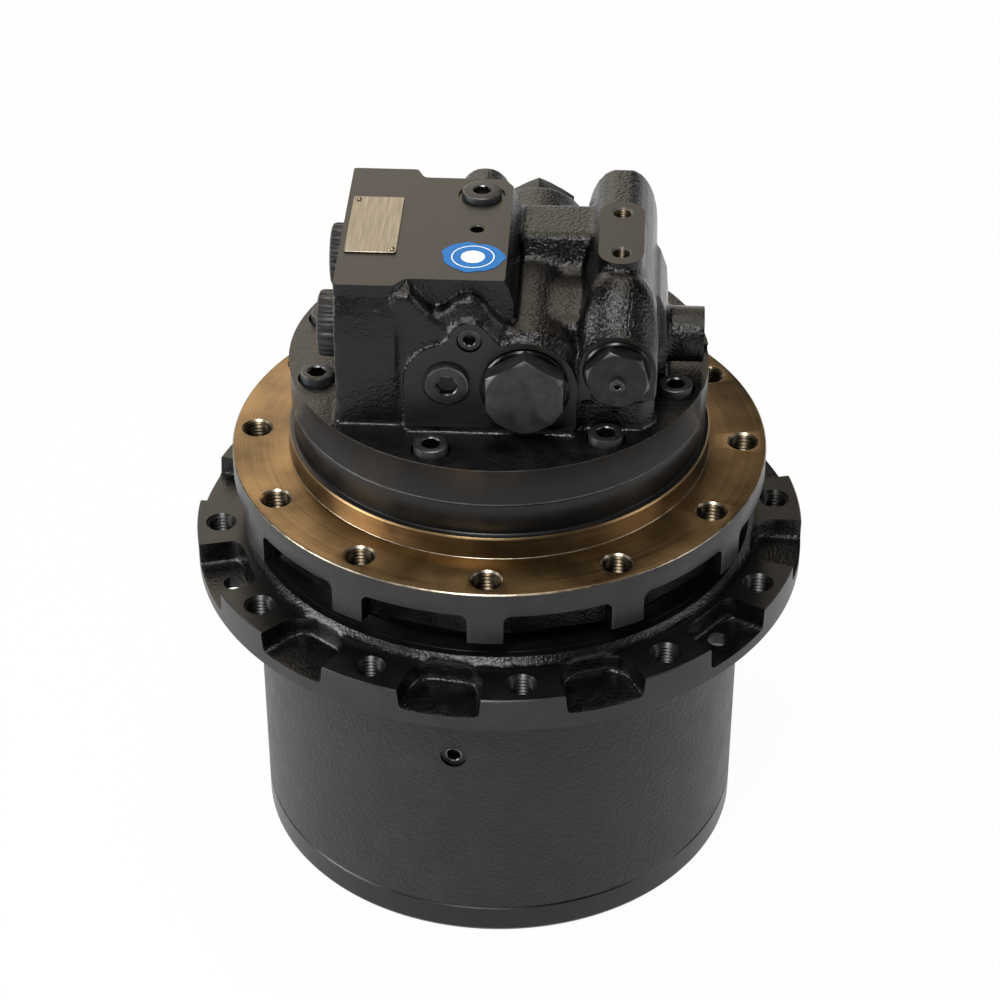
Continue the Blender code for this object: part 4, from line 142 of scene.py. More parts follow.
@dataclass(frozen=True)
class Finish:
    """One surface finish, made into a material on first use."""

    name: str
    slot: str

    def dress(self, tree: bpy.types.NodeTree, shader: bpy.types.Node) -> None:
        """Set up the nodes of the finish.

        Args:
            tree: the material's node tree.
            shader: its principled shader.
        """
        raise NotImplementedError

    def material(self) -> bpy.types.Material:
        """Find the finish's material, or make it on first use.

        Returns:
            The material.
        """
        found = bpy.data.materials.get(self.name)
        if found:
            return found
        made = bpy.data.materials.new(self.name)
        made.use_nodes = True
        self.dress(made.node_tree, made.node_tree.nodes["Principled BSDF"])
        return made


@dataclass(frozen=True)
class SandCastEnamel(Finish):
    """Alkyd enamel sprayed over sand-cast iron: the grain of the mould shows as pits and sparkles."""

    deep: str = "#050506"
    worn: str = "#0e0e0f"
    roughness: float = 0.17
    grain_mm: float = 1.05
    pits_per_grain: float = 0.7
    relief_mm: float = 0.34
    swell_mm: float = 8.0
    specular: float = 0.34

    def dress(self, tree: bpy.types.NodeTree, shader: bpy.types.Node) -> None:
        """Grain bump from sand size, a slower swell, and a little change in gloss.

        Args:
            tree: the material's node tree.
            shader: its principled shader.
        """
        place = add_node(tree, "TexCoord").outputs["Object"]
        grain = add_node(tree, "TexNoise", {"Vector": place, "Scale": METRE / self.grain_mm,
                                            "Detail": 3.0, "Roughness": 0.62})
        pits = add_node(tree, "TexVoronoi",
                        {"Vector": place, "Scale": METRE * self.pits_per_grain / self.grain_mm},
                        feature="SMOOTH_F1")
        swell = add_node(tree, "TexNoise", {"Vector": place, "Scale": METRE / self.swell_mm,
                                            "Detail": 2.0})
        rough = add_node(tree, "Math", {0: grain.outputs["Fac"], 1: pits.outputs["Distance"]},
                         operation="ADD")
        height = add_node(tree, "Math", {0: swell.outputs["Fac"], 1: 0.6, 2: rough.outputs[0]},
                          operation="MULTIPLY_ADD")
        bump = add_node(tree, "Bump", {"Height": height.outputs[0], "Distance": self.relief_mm * MM,
                                       "Strength": 0.9})
        tint = add_node(tree, "ValToRGB", {"Fac": swell.outputs["Fac"]},
                        {0.42: self.deep, 0.75: self.worn})
        gloss = add_node(tree, "MapRange", {"Value": swell.outputs["Fac"],
                                            "To Min": self.roughness - 0.07,
                                            "To Max": self.roughness + 0.12})
        connect(tree, shader, {"Base Color": tint.outputs["Color"], "Roughness": gloss.outputs["Result"],
                               "Normal": bump.outputs["Normal"], "Specular IOR Level": self.specular})


@dataclass(frozen=True)
class MilledEnamel(Finish):
    """Thin satin enamel over a milled or turned face: flat, with faint smudges and no grain."""

    light: str = "#171716"
    dark: str = "#0d0d0d"
    roughness: float = 0.36
    smudge_mm: float = 14.0
    peel_mm: float = 10 / 9
    specular: float = 0.35

    def dress(self, tree: bpy.types.NodeTree, shader: bpy.types.Node) -> None:
        """Smudges in colour and gloss, and a skin-deep orange peel.

        Args:
            tree: the material's node tree.
            shader: its principled shader.
        """
        place = add_node(tree, "TexCoord").outputs["Object"]
        smudge = add_node(tree, "TexNoise", {"Vector": place, "Scale": METRE / self.smudge_mm,
                                             "Detail": 5.0, "Roughness": 0.65})
        peel = add_node(tree, "TexNoise", {"Vector": place, "Scale": METRE / self.peel_mm, "Detail": 1.0})
        tint = add_node(tree, "ValToRGB", {"Fac": smudge.outputs["Fac"]},
                        {0.35: self.dark, 0.68: self.light})
        gloss = add_node(tree, "MapRange", {"Value": smudge.outputs["Fac"],
                                            "To Min": self.roughness - 0.06,
                                            "To Max": self.roughness + 0.08})
        bump = add_node(tree, "Bump", {"Height": peel.outputs["Fac"], "Distance": 0.02 * MM,
                                       "Strength": 0.5})
        connect(tree, shader, {"Base Color": tint.outputs["Color"], "Roughness": gloss.outputs["Result"],
                               "Normal": bump.outputs["Normal"], "Specular IOR Level": self.specular})


@dataclass(frozen=True)
class TurnedMetal(Finish):
    """Iron turned on a lathe: fine rings round the axis, toned by its protective coat."""

    light: str = "#9a7d55"
    dark: str = "#5b4730"
    roughness: float = 0.3
    ring_mm: float = 0.9
    patch_mm: float = 45.0

    def dress(self, tree: bpy.types.NodeTree, shader: bpy.types.Node) -> None:
        """Rings that depend on radius and height only, under slow patches of tone.

        Args:
            tree: the material's node tree.
            shader: its principled shader.
        """
        place = add_node(tree, "TexCoord").outputs["Object"]
        apart = add_node(tree, "SeparateXYZ", {0: place})
        flat = add_node(tree, "CombineXYZ", {"X": apart.outputs["X"], "Y": apart.outputs["Y"]})
        reach = add_node(tree, "VectorMath", {0: flat.outputs[0]}, operation="LENGTH")
        ahead = add_node(tree, "VectorMath", {0: flat.outputs[0]}, operation="NORMALIZE")
        across = add_node(tree, "SeparateXYZ", {0: ahead.outputs["Vector"]})
        lines = add_node(tree, "Math", {0: reach.outputs["Value"], 1: apart.outputs["Z"]},
                         operation="ADD")
        pitch = add_node(tree, "Math", {0: lines.outputs[0], 1: METRE / self.ring_mm},
                         operation="MULTIPLY")
        around_axis = add_node(tree, "CombineXYZ", {"X": pitch.outputs[0], "Y": across.outputs["X"],
                                                    "Z": across.outputs["Y"]})
        rings = add_node(tree, "TexNoise", {"Vector": around_axis.outputs[0], "Scale": 1.0,
                                            "Detail": 4.0, "Roughness": 0.7})
        patch = add_node(tree, "TexNoise", {"Vector": place, "Scale": METRE / self.patch_mm,
                                            "Detail": 3.0})
        blend = add_node(tree, "Math", {0: rings.outputs["Fac"], 1: 0.45, 2: patch.outputs["Fac"]},
                         operation="MULTIPLY_ADD")
        tint = add_node(tree, "ValToRGB", {"Fac": blend.outputs[0]}, {0.55: self.dark, 0.88: self.light})
        gloss = add_node(tree, "MapRange", {"Value": blend.outputs[0], "From Min": 0.4, "From Max": 1.0,
                                            "To Min": self.roughness - 0.06,
                                            "To Max": self.roughness + 0.12})
        bump = add_node(tree, "Bump", {"Height": rings.outputs["Fac"], "Distance": 0.03 * MM,
                                       "Strength": 0.5})
        connect(tree, shader, {"Base Color": tint.outputs["Color"], "Roughness": gloss.outputs["Result"],
                               "Normal": bump.outputs["Normal"], "Metallic": 1.0})


@dataclass(frozen=True)
class PlainMetal(Finish):
    """Steel as a tool left it: oxide, ground or bright, with a soft cloud of handling marks."""

    light: str = "#3a3b3d"
    dark: str = "#1d1e20"
    roughness: float = 0.35
    metallic: float = 1.0
    cloud_mm: float = 7.0

    def dress(self, tree: bpy.types.NodeTree, shader: bpy.types.Node) -> None:
        """A cloud in tone and gloss.

        Args:
            tree: the material's node tree.
            shader: its principled shader.
        """
        place = add_node(tree, "TexCoord").outputs["Object"]
        cloud = add_node(tree, "TexNoise", {"Vector": place, "Scale": METRE / self.cloud_mm,
                                            "Detail": 5.0, "Roughness": 0.6})
        tint = add_node(tree, "ValToRGB", {"Fac": cloud.outputs["Fac"]},
                        {0.35: self.dark, 0.7: self.light})
        gloss = add_node(tree, "MapRange", {"Value": cloud.outputs["Fac"],
                                            "To Min": self.roughness - 0.06,
                                            "To Max": self.roughness + 0.1})
        connect(tree, shader, {"Base Color": tint.outputs["Color"], "Roughness": gloss.outputs["Result"],
                               "Metallic": self.metallic})


@dataclass(frozen=True)
class BrushedSheet(Finish):
    """Aluminium sheet brushed along its length: hairlines that run one way."""

    light: str = "#938d80"
    dark: str = "#6f6a60"
    roughness: float = 0.32
    hair_mm: float = 0.5
    hair_stretch: float = 0.02

    def dress(self, tree: bpy.types.NodeTree, shader: bpy.types.Node) -> None:
        """Noise drawn out along Y.

        Args:
            tree: the material's node tree.
            shader: its principled shader.
        """
        place = add_node(tree, "TexCoord").outputs["Object"]
        drawn = add_node(tree, "Mapping", {"Vector": place, "Scale": (1.0, self.hair_stretch, 1.0)})
        hair = add_node(tree, "TexNoise", {"Vector": drawn.outputs[0], "Scale": METRE / self.hair_mm,
                                           "Detail": 3.0})
        tint = add_node(tree, "ValToRGB", {"Fac": hair.outputs["Fac"]}, {0.3: self.dark, 0.7: self.light})
        bump = add_node(tree, "Bump", {"Height": hair.outputs["Fac"], "Distance": 0.02 * MM,
                                       "Strength": 0.6})
        connect(tree, shader, {"Base Color": tint.outputs["Color"], "Normal": bump.outputs["Normal"],
                               "Roughness": self.roughness, "Metallic": 1.0})


@dataclass(frozen=True)
class Moulding(Finish):
    """Moulded plastic, rubber or printed film: one colour, with a fine skin."""

    colour: str = "#141416"
    roughness: float = 0.45
    skin_mm: float = 0.8
    relief_mm: float = 0.03
    specular: float = 0.5

    def dress(self, tree: bpy.types.NodeTree, shader: bpy.types.Node) -> None:
        """A fine skin in bump only.

        Args:
            tree: the material's node tree.
            shader: its principled shader.
        """
        place = add_node(tree, "TexCoord").outputs["Object"]
        skin = add_node(tree, "TexNoise", {"Vector": place, "Scale": METRE / self.skin_mm, "Detail": 2.0})
        bump = add_node(tree, "Bump", {"Height": skin.outputs["Fac"], "Distance": self.relief_mm * MM,
                                       "Strength": 0.7})
        connect(tree, shader, {"Normal": bump.outputs["Normal"], "Base Color": linear(self.colour),
                               "Roughness": self.roughness, "Specular IOR Level": self.specular})


# Glossy black over coarse sand: dark, with bright points wherever the grain faces a lamp
BLOCK_CAST = SandCastEnamel("alkyd_enamel_on_cast_block", "black_paint")
# The same enamel where it pools in pockets and scoops: duller, over shallower grain
POCKET_CAST = SandCastEnamel("alkyd_enamel_in_cast_pockets", "grey_paint", deep="#060607", worn="#101011",
                             roughness=0.22, grain_mm=1.0, relief_mm=0.2)
# Dull dark grey primer on the drum, over finer sand: an even orange peel
DRUM_CAST = SandCastEnamel("primer_on_cast_drum", "grey_paint", deep="#1b1b1e", worn="#252528",
                           roughness=0.4, grain_mm=1.4, relief_mm=0.42, swell_mm=14.0, specular=0.3)
# Satin enamel on the block's milled faces: warm dark grey
BLOCK_MILLED = MilledEnamel("satin_enamel_on_milled_iron", "black_paint", light="#1d1b18", dark="#12110f")
# Satin enamel on the turned rims: cooler and paler than the milled faces
RIM_TURNED = MilledEnamel("satin_enamel_on_turned_rim", "grey_paint", light="#2a292a", dark="#1e1e1f",
                          roughness=0.36)
# Smooth black on the motor case and the cover band
CASE_TURNED = MilledEnamel("satin_enamel_on_turned_case", "black_paint", light="#121213", dark="#0b0b0c",
                           roughness=0.32)
# Bronze-brown phosphate on the turned flange: broad soft sheen broken by tool rings
FLANGE_TURNED = TurnedMetal("phosphated_turned_iron", "turned_face", light="#967b58", dark="#5a4a32",
                            roughness=0.34)
# Bare turned iron on the rivets; on the flange's chamfers and hole mouths the same pale colour paints a thin
# highlight line
EDGE_BRIGHT = PlainMetal("bare_iron_and_painted_edge_highlight", "steel", light="#b7ab95", dark="#6f675a", roughness=0.3)
# Tapped threads: steel painted dark as the shade inside the holes, whose crests catch a little light
THREAD_STEEL = PlainMetal("cut_thread_steel_darkened_as_painted_shade", "steel", light="#5f5443", dark="#1d1a15", roughness=0.32)
# The pads' threads, sprayed over with the casting
THREAD_PAINTED = PlainMetal("enamel_on_cut_thread", "grey_paint", light="#151515", dark="#070707",
                            roughness=0.36, metallic=0.2)
# Pad tops: turned, then painted with the casting
PAD_TURNED = MilledEnamel("enamel_on_turned_pads", "grey_paint", light="#0e0e0e", dark="#080808",
                          roughness=0.32)
# Painted highlight: a pale grey line on the edges of painted holes and on the block's turned rim
EDGE_PAINTED_HIGHLIGHT = MilledEnamel("enamel_edge_painted_highlight", "grey_paint", light="#5a5956", dark="#343330", roughness=0.3)
# Black oxide on plugs and screws: a dark satin grey with faint clouds
OXIDE = PlainMetal("black_oxide_steel", "black_oxide", light="#3b3c3e", dark="#27282a", roughness=0.4,
                   metallic=0.6)
# The speed valve's plug keeps more of its oil and is darker
OXIDE_DARK = PlainMetal("oiled_black_oxide_steel", "black_oxide", light="#29292b", dark="#19191b",
                        roughness=0.36, metallic=0.6)
# The paler grey that handled edges of black oxide wear to
OXIDE_EDGE = PlainMetal("worn_oxide_edge", "black_oxide", light="#77787a", dark="#3c3d3f", roughness=0.35)
# Near black, shiny oxide: painted shade in sockets, under plug heads on their collars, and in the block's
# small holes
OXIDE_GLOSS = PlainMetal("near_black_oxide_painted_shade", "black_oxide", light="#1b1c1e", dark="#0c0d0e", roughness=0.24,
                         metallic=0.6)
# Gear teeth ground after hardening: a cool, even grey
GEAR_GROUND = PlainMetal("ground_gear_steel", "gear_steel", light="#9c9ea1", dark="#6d6f73", roughness=0.28)
# Races, shafts and spools ground finer: paler, with sharper highlights
RACE_GROUND = PlainMetal("ground_bearing_steel", "steel", light="#b9bbbe", dark="#8d8f93", roughness=0.22)
# Machined bearing bronze: a warm yellow brown
SHOE_BRONZE = PlainMetal("bearing_bronze", "bronze", light="#b08a4c", dark="#7c5c2c", roughness=0.33)
# Brushed aluminium sheet: pale, with hairlines along its length
PLATE_SHEET = BrushedSheet("brushed_aluminium_sheet", "aluminium")
# Moulded polyethylene caps: black with a soft skin
CAP_PLASTIC = Moulding("moulded_black_polyethylene", "plastic", colour="#0b0b0c")
# Moulded nitrile rubber: black and dull
SEAL_RUBBER = Moulding("nitrile_rubber", "rubber", colour="#0f0f10", roughness=0.7)
# Printed film of the sticker: flat blue and near white, with little shine
FILM_BLUE = Moulding("printed_blue_film", "plastic", colour="#0565ad", roughness=0.4, relief_mm=0.01,
                     specular=0.15)
FILM_WHITE = Moulding("printed_white_film", "plastic", colour="#e8eef2", roughness=0.35, relief_mm=0.01)


# ---- mesh tools


def solid(name: str, points: Iterable[Sequence[float]], faces: Sequence[Sequence[int]],
          finishes: Sequence[Finish], picks: Sequence[int] | None = None) -> bpy.types.Object:
    """Link a mesh given in millimetres.

    Args:
        name: the object's name.
        points: corner points.
        faces: corner numbers of each face.
        finishes: the finishes its faces take.
        picks: each face's place in finishes.

    Returns:
        The new object.
    """
    mesh = bpy.data.meshes.new(name)
    mesh.from_pydata([tuple(value * MM for value in point) for point in points], [], faces)
    for finish in finishes:
        mesh.materials.append(finish.material())
    if picks:
        mesh.polygons.foreach_set("material_index", picks)
    mesh.update()
    made = bpy.data.objects.new(name, mesh)
    bpy.context.scene.collection.objects.link(made)
    return made


def lathe(name: str, profile: Sequence[Point], steps: int, finish: Finish,
          bands: dict[int, Finish] | None = None, ripple: float = 0.0, ripples: int = 0) -> bpy.types.Object:
    """Turn a closed profile about Z.

    Args:
        name: the object's name.
        profile: (radius, height) corners, anticlockwise.
        steps: facets round the circle.
        finish: the finish of the piece.
        bands: profile stretch number to its own finish.
        ripple: how far ribs cut into the largest radius.
        ripples: how many ribs go round.

    Returns:
        The turned piece.
    """
    points: list[Sequence[float]] = []
    rings: list[list[int]] = []
    largest = max(radius for radius, _ in profile)
    for radius, height in profile:
        if radius == 0:
            rings.append([len(points)] * steps)
            points.append((0, 0, height))
            continue
        rings.append([len(points) + step for step in range(steps)])
        for step in range(steps):
            angle = TURN * step / steps
            reach = radius
            if ripples and radius > largest - 2 * ripple:
                reach -= ripple * max(0.0, math.cos(ripples * angle)) ** 0.5
            points.append((reach * math.cos(angle), reach * math.sin(angle), height))
    faces: list[list[int]] = []
    picks: list[int] = []
    band_of = bands or {}
    finishes = list(dict.fromkeys([finish, *band_of.values()]))
    for index, ring in enumerate(rings):
        following = rings[(index + 1) % len(rings)]
        for step in range(steps):
            after = (step + 1) % steps
            corners = [ring[step], ring[after], following[after], following[step]]
            face = [corner for place, corner in enumerate(corners) if corner not in corners[:place]]
            if len(face) > 2:
                faces.append(face)
                picks.append(finishes.index(band_of.get(index, finish)))
    return solid(name, points, faces, finishes, picks)


def prism(name: str, outline: Sequence[Point], low: float, high: float, finish: Finish,
          draft: float = 1.0) -> bpy.types.Object:
    """Extrude an anticlockwise outline along Z.

    Args:
        name: the object's name.
        outline: (x, y) corners.
        low: lower height.
        high: upper height.
        finish: its finish.
        draft: size of the lower outline against the upper one.

    Returns:
        The prism.
    """
    count = len(outline)
    points = [(x * draft, y * draft, low) for x, y in outline] + [(x, y, high) for x, y in outline]
    faces = [list(reversed(range(count))), list(range(count, 2 * count))]
    faces += [[at, (at + 1) % count, count + (at + 1) % count, count + at] for at in range(count)]
    return solid(name, points, faces, [finish])


def arc(centre: Point, radius: float, start: float, end: float, steps: int) -> list[Point]:
    """Return points on an arc between two angles in degrees, both ends included."""
    angles = [math.radians(start + (end - start) * step / steps) for step in range(steps + 1)]
    return [(centre[0] + radius * math.cos(angle), centre[1] + radius * math.sin(angle)) for angle in angles]


def around(radius: float, angles: Iterable[float]) -> list[Point]:
    """Return the points of a circle about Z at some angles in degrees."""
    turns = [math.radians(angle) for angle in angles]
    return [(radius * math.cos(turn), radius * math.sin(turn)) for turn in turns]


def rod(name: str, radius: float, low: float, high: float, finish: Finish, steps: int = 48,
        top: float | None = None) -> bpy.types.Object:
    """Make a round bar along Z, with another radius at its top if one is given."""
    upper = radius if top is None else top
    return lathe(name, [(0, low), (radius, low), (upper, high), (0, high)], steps, finish)


def box(low: Sequence[float], high: Sequence[float], finish: Finish) -> bpy.types.Object:
    """Make a box between two corners, for use as a cutter or a core."""
    outline = [(low[0], low[1]), (high[0], low[1]), (high[0], high[1]), (low[0], high[1])]
    return prism("box", outline, low[2], high[2], finish)


def placed(item: bpy.types.Object, x: float, y: float, z: float, side: Side = Side.UP,
           twist: float = 0.0) -> bpy.types.Object:
    """Turn and move the mesh of a piece.

    Args:
        item: a piece built along +Z.
        x: where its own origin goes.
        y: where its own origin goes.
        z: where its own origin goes.
        side: the way it then faces.
        twist: turn about its own axis first, in degrees.

    Returns:
        The same piece.
    """
    spin = Matrix.Rotation(math.radians(twist), 4, "Z")
    item.data.transform(Matrix.Translation(Vector((x, y, z)) * MM) @ side.matrix() @ spin)
    return item


def drop(items: Iterable[bpy.types.Object]) -> None:
    """Remove helper objects."""
    for item in items:
        bpy.data.objects.remove(item)


def bake(item: bpy.types.Object) -> bpy.types.Object:
    """Apply a piece's modifiers to its mesh.

    Args:
        item: the piece.

    Returns:
        The same piece.
    """
    bpy.context.view_layer.update()
    result = item.evaluated_get(bpy.context.evaluated_depsgraph_get())
    mesh = bpy.data.meshes.new_from_object(result)
    item.modifiers.clear()
    item.data = mesh
    return item


def join(name: str, items: Sequence[bpy.types.Object]) -> bpy.types.Object:
    """Put several meshes into one without joining their surfaces.

    Args:
        name: the new object's name.
        items: the pieces, which are removed.

    Returns:
        The new object, with the first piece's finish.
    """
    shape = bmesh.new()
    for item in items:
        shape.from_mesh(item.data)
    mesh = bpy.data.meshes.new(name)
    shape.to_mesh(mesh)
    shape.free()
    mesh.materials.append(items[0].data.materials[0])
    made = bpy.data.objects.new(name, mesh)
    bpy.context.scene.collection.objects.link(made)
    drop(items)
    return made


def join_kept(name: str, items: Sequence[bpy.types.Object]) -> bpy.types.Object:
    """Join pieces into one object and keep every finish.

    Args:
        name: the joined object's name.
        items: the pieces, of which the first takes up the others.

    Returns:
        The first piece.
    """
    bpy.ops.object.select_all(action="DESELECT")
    for item in items:
        item.select_set(True)
    bpy.context.view_layer.objects.active = items[0]
    bpy.ops.object.join()
    items[0].name = name
    return items[0]


class Boolean(Enum):
    """What an exact Boolean does with its tools."""

    ADD = "UNION"
    CUT = "DIFFERENCE"
    KEEP = "INTERSECT"


def change(item: bpy.types.Object, tools: Sequence[bpy.types.Object],
           operation: Boolean) -> bpy.types.Object:
    """Apply one exact Boolean for each tool, keeping the tools' finishes on the faces they make.

    Args:
        item: the piece.
        tools: closed pieces, which are removed.
        operation: what each of them does.

    Returns:
        The same piece.
    """
    for tool in tools:
        step = item.modifiers.new("step", "BOOLEAN")
        step.operation = operation.value
        step.solver = "EXACT"
        step.material_mode = "TRANSFER"
        step.object = tool
    bake(item)
    drop(tools)
    return item


def carve(item: bpy.types.Object, tools: Sequence[bpy.types.Object]) -> bpy.types.Object:
    """Cut a heavy casting once, with all its tools united first."""
    cutter = change(tools[0], tools[1:], Boolean.ADD)
    return change(item, [cutter], Boolean.CUT)


def grow_casting(name: str, cores: Sequence[bpy.types.Object], voxel: float, passes: int,
                 finish: Finish) -> bpy.types.Object:
    """Fuse rough cores into one casting with filleted inner corners and rounded edges.

    Args:
        name: the casting's name.
        cores: overlapping closed pieces.
        voxel: size of the grid it is regrown on.
        passes: rounds of smoothing, which set the fillets.
        finish: its finish.

    Returns:
        The casting.
    """
    item = join(name, cores)
    regrow = item.modifiers.new("regrow", "REMESH")
    regrow.mode = "VOXEL"
    regrow.voxel_size = voxel * MM
    soften = item.modifiers.new("soften", "SMOOTH")
    soften.factor = 0.5
    soften.iterations = passes
    bake(item)
    item.data.materials.clear()
    item.data.materials.append(finish.material())
    return item


def break_edges(item: bpy.types.Object, width: float, segments: int = 2, angle: float = 40.0,
                worn: Finish | None = None) -> bpy.types.Object:
    """Round a piece's sharp edges.

    Args:
        item: the piece.
        width: width of the rounding.
        segments: facets across it.
        angle: edges sharper than this are rounded, in degrees.
        worn: the finish of the rounded strip, where it differs.

    Returns:
        The same piece.
    """
    bevel = item.modifiers.new("edges", "BEVEL")
    bevel.width = width * MM
    bevel.segments = segments
    bevel.limit_method = "ANGLE"
    bevel.angle_limit = math.radians(angle)
    bevel.use_clamp_overlap = True
    if worn:
        item.data.materials.append(worn.material())
        bevel.material = len(item.data.materials) - 1
    return bake(item)


def finish_piece(item: bpy.types.Object, name: str, body: str, finish: Finish, *nodes: str,
                 sharp: float = 32.0) -> bpy.types.Object:
    """Name, shade and hang a piece on its body.

    Args:
        item: the piece.
        name: its final name.
        body: the body it moves with.
        finish: the finish meant for its slot; not used.
        nodes: the CAD nodes it stands for.
        sharp: edges sharper than this stay sharp, in degrees.

    Returns:
        The same piece.
    """
    item.name = name
    item.data.name = name
    item.data.shade_smooth()
    item.data.set_sharp_from_angle(angle=math.radians(sharp))
    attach(item, body)
    if nodes:
        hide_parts(*nodes)
    LOG.info("%s on %s: %d faces", name, body, len(item.data.polygons))
    return item


def loft(name: str, sections: Sequence[Sequence[Sequence[float]]], finish: Finish) -> bpy.types.Object:
    """Skin a row of sections that have the same number of points.

    Args:
        name: the object's name.
        sections: the points of each section, in order along the piece.
        finish: its finish.

    Returns:
        The closed piece.
    """
    count = len(sections[0])
    points = [point for section in sections for point in section]
    faces = [list(range(count)), [len(points) - 1 - at for at in range(count)]]
    for column in range(len(sections) - 1):
        first = column * count
        for at in range(count):
            after = (at + 1) % count
            faces.append([first + at, first + at + count, first + after + count, first + after])
    return solid(name, points, faces, [finish])


@dataclass(frozen=True)
class TappedHole:
    """A threaded hole: its bore, countersink and the turns of thread that show in it."""

    major: float
    depth: float
    pitch: float
    rim: Finish
    sink: float = 0.9
    steps: int = 32
    # These threads' dark steel paints the shade inside the bore
    turned: Finish = THREAD_STEEL

    def cutter(self, place: Point, top: float, wall: Finish) -> bpy.types.Object:
        """Make the cutter of the bore and its countersink.

        Args:
            place: (x, y) of the hole.
            top: height of the face it goes into.
            wall: the finish of its wall.

        Returns:
            The cutter.
        """
        mouth, end, above = self.major + self.sink, -self.depth - 1, 3
        profile = [(0, end), (self.major, end), (self.major, -self.sink), (mouth, 0), (mouth, above),
                   (0, above)]
        return placed(lathe("bore", profile, self.steps, wall, {2: self.rim}), *place, top)

    def thread(self, name: str) -> bpy.types.Object:
        """Make the thread as a stack of ridges that fills the bore's wall.

        Args:
            name: the object's name.

        Returns:
            The thread, with its face at Z = 0.
        """
        wall, root = self.major - 0.02, self.major - 0.15
        crest = self.major - 0.6 * self.pitch
        profile = [(wall, -self.depth), (wall, -self.sink)]
        for turn in range(int((self.depth - self.sink) / self.pitch)):
            start = -self.sink - turn * self.pitch
            profile += [(root, start), (crest, start - self.pitch / 2)]
        profile.append((root, -self.depth))
        return lathe(name, profile, self.steps, self.turned)

    def set_threads(self, name: str, places: Sequence[Point], top: float, body: str) -> None:
        """Set a thread in each hole.

        Args:
            name: the pieces' name before their numbers.
            places: (x, y) of each hole.
            top: height of the face the holes go into.
            body: the body they move with.
        """
        pattern = self.thread(name)
        for index, place in enumerate(places):
            piece = bpy.data.objects.new(name, pattern.data.copy())
            bpy.context.scene.collection.objects.link(piece)
            finish_piece(placed(piece, *place, top), f"{name}_{index + 1}", body, self.turned)
        drop([pattern])


# ---- sub-assemblies


@dataclass(frozen=True)
class Scoop:
    """A gap between two pads: how far in it reaches, and how its floor and corners lie."""

    inner: float
    floor: float
    corner: float
    lean: float
    lift: float


# Most gaps are scooped out with rounded corners; every fourth is a flat seat for a dowel hole
ROUND_SCOOP = Scoop(inner=130.2, floor=168.4, corner=9.5, lean=0.88, lift=1.2)
FLAT_SCOOP = Scoop(inner=133.0, floor=165.2, corner=4.0, lean=0.96, lift=0.0)


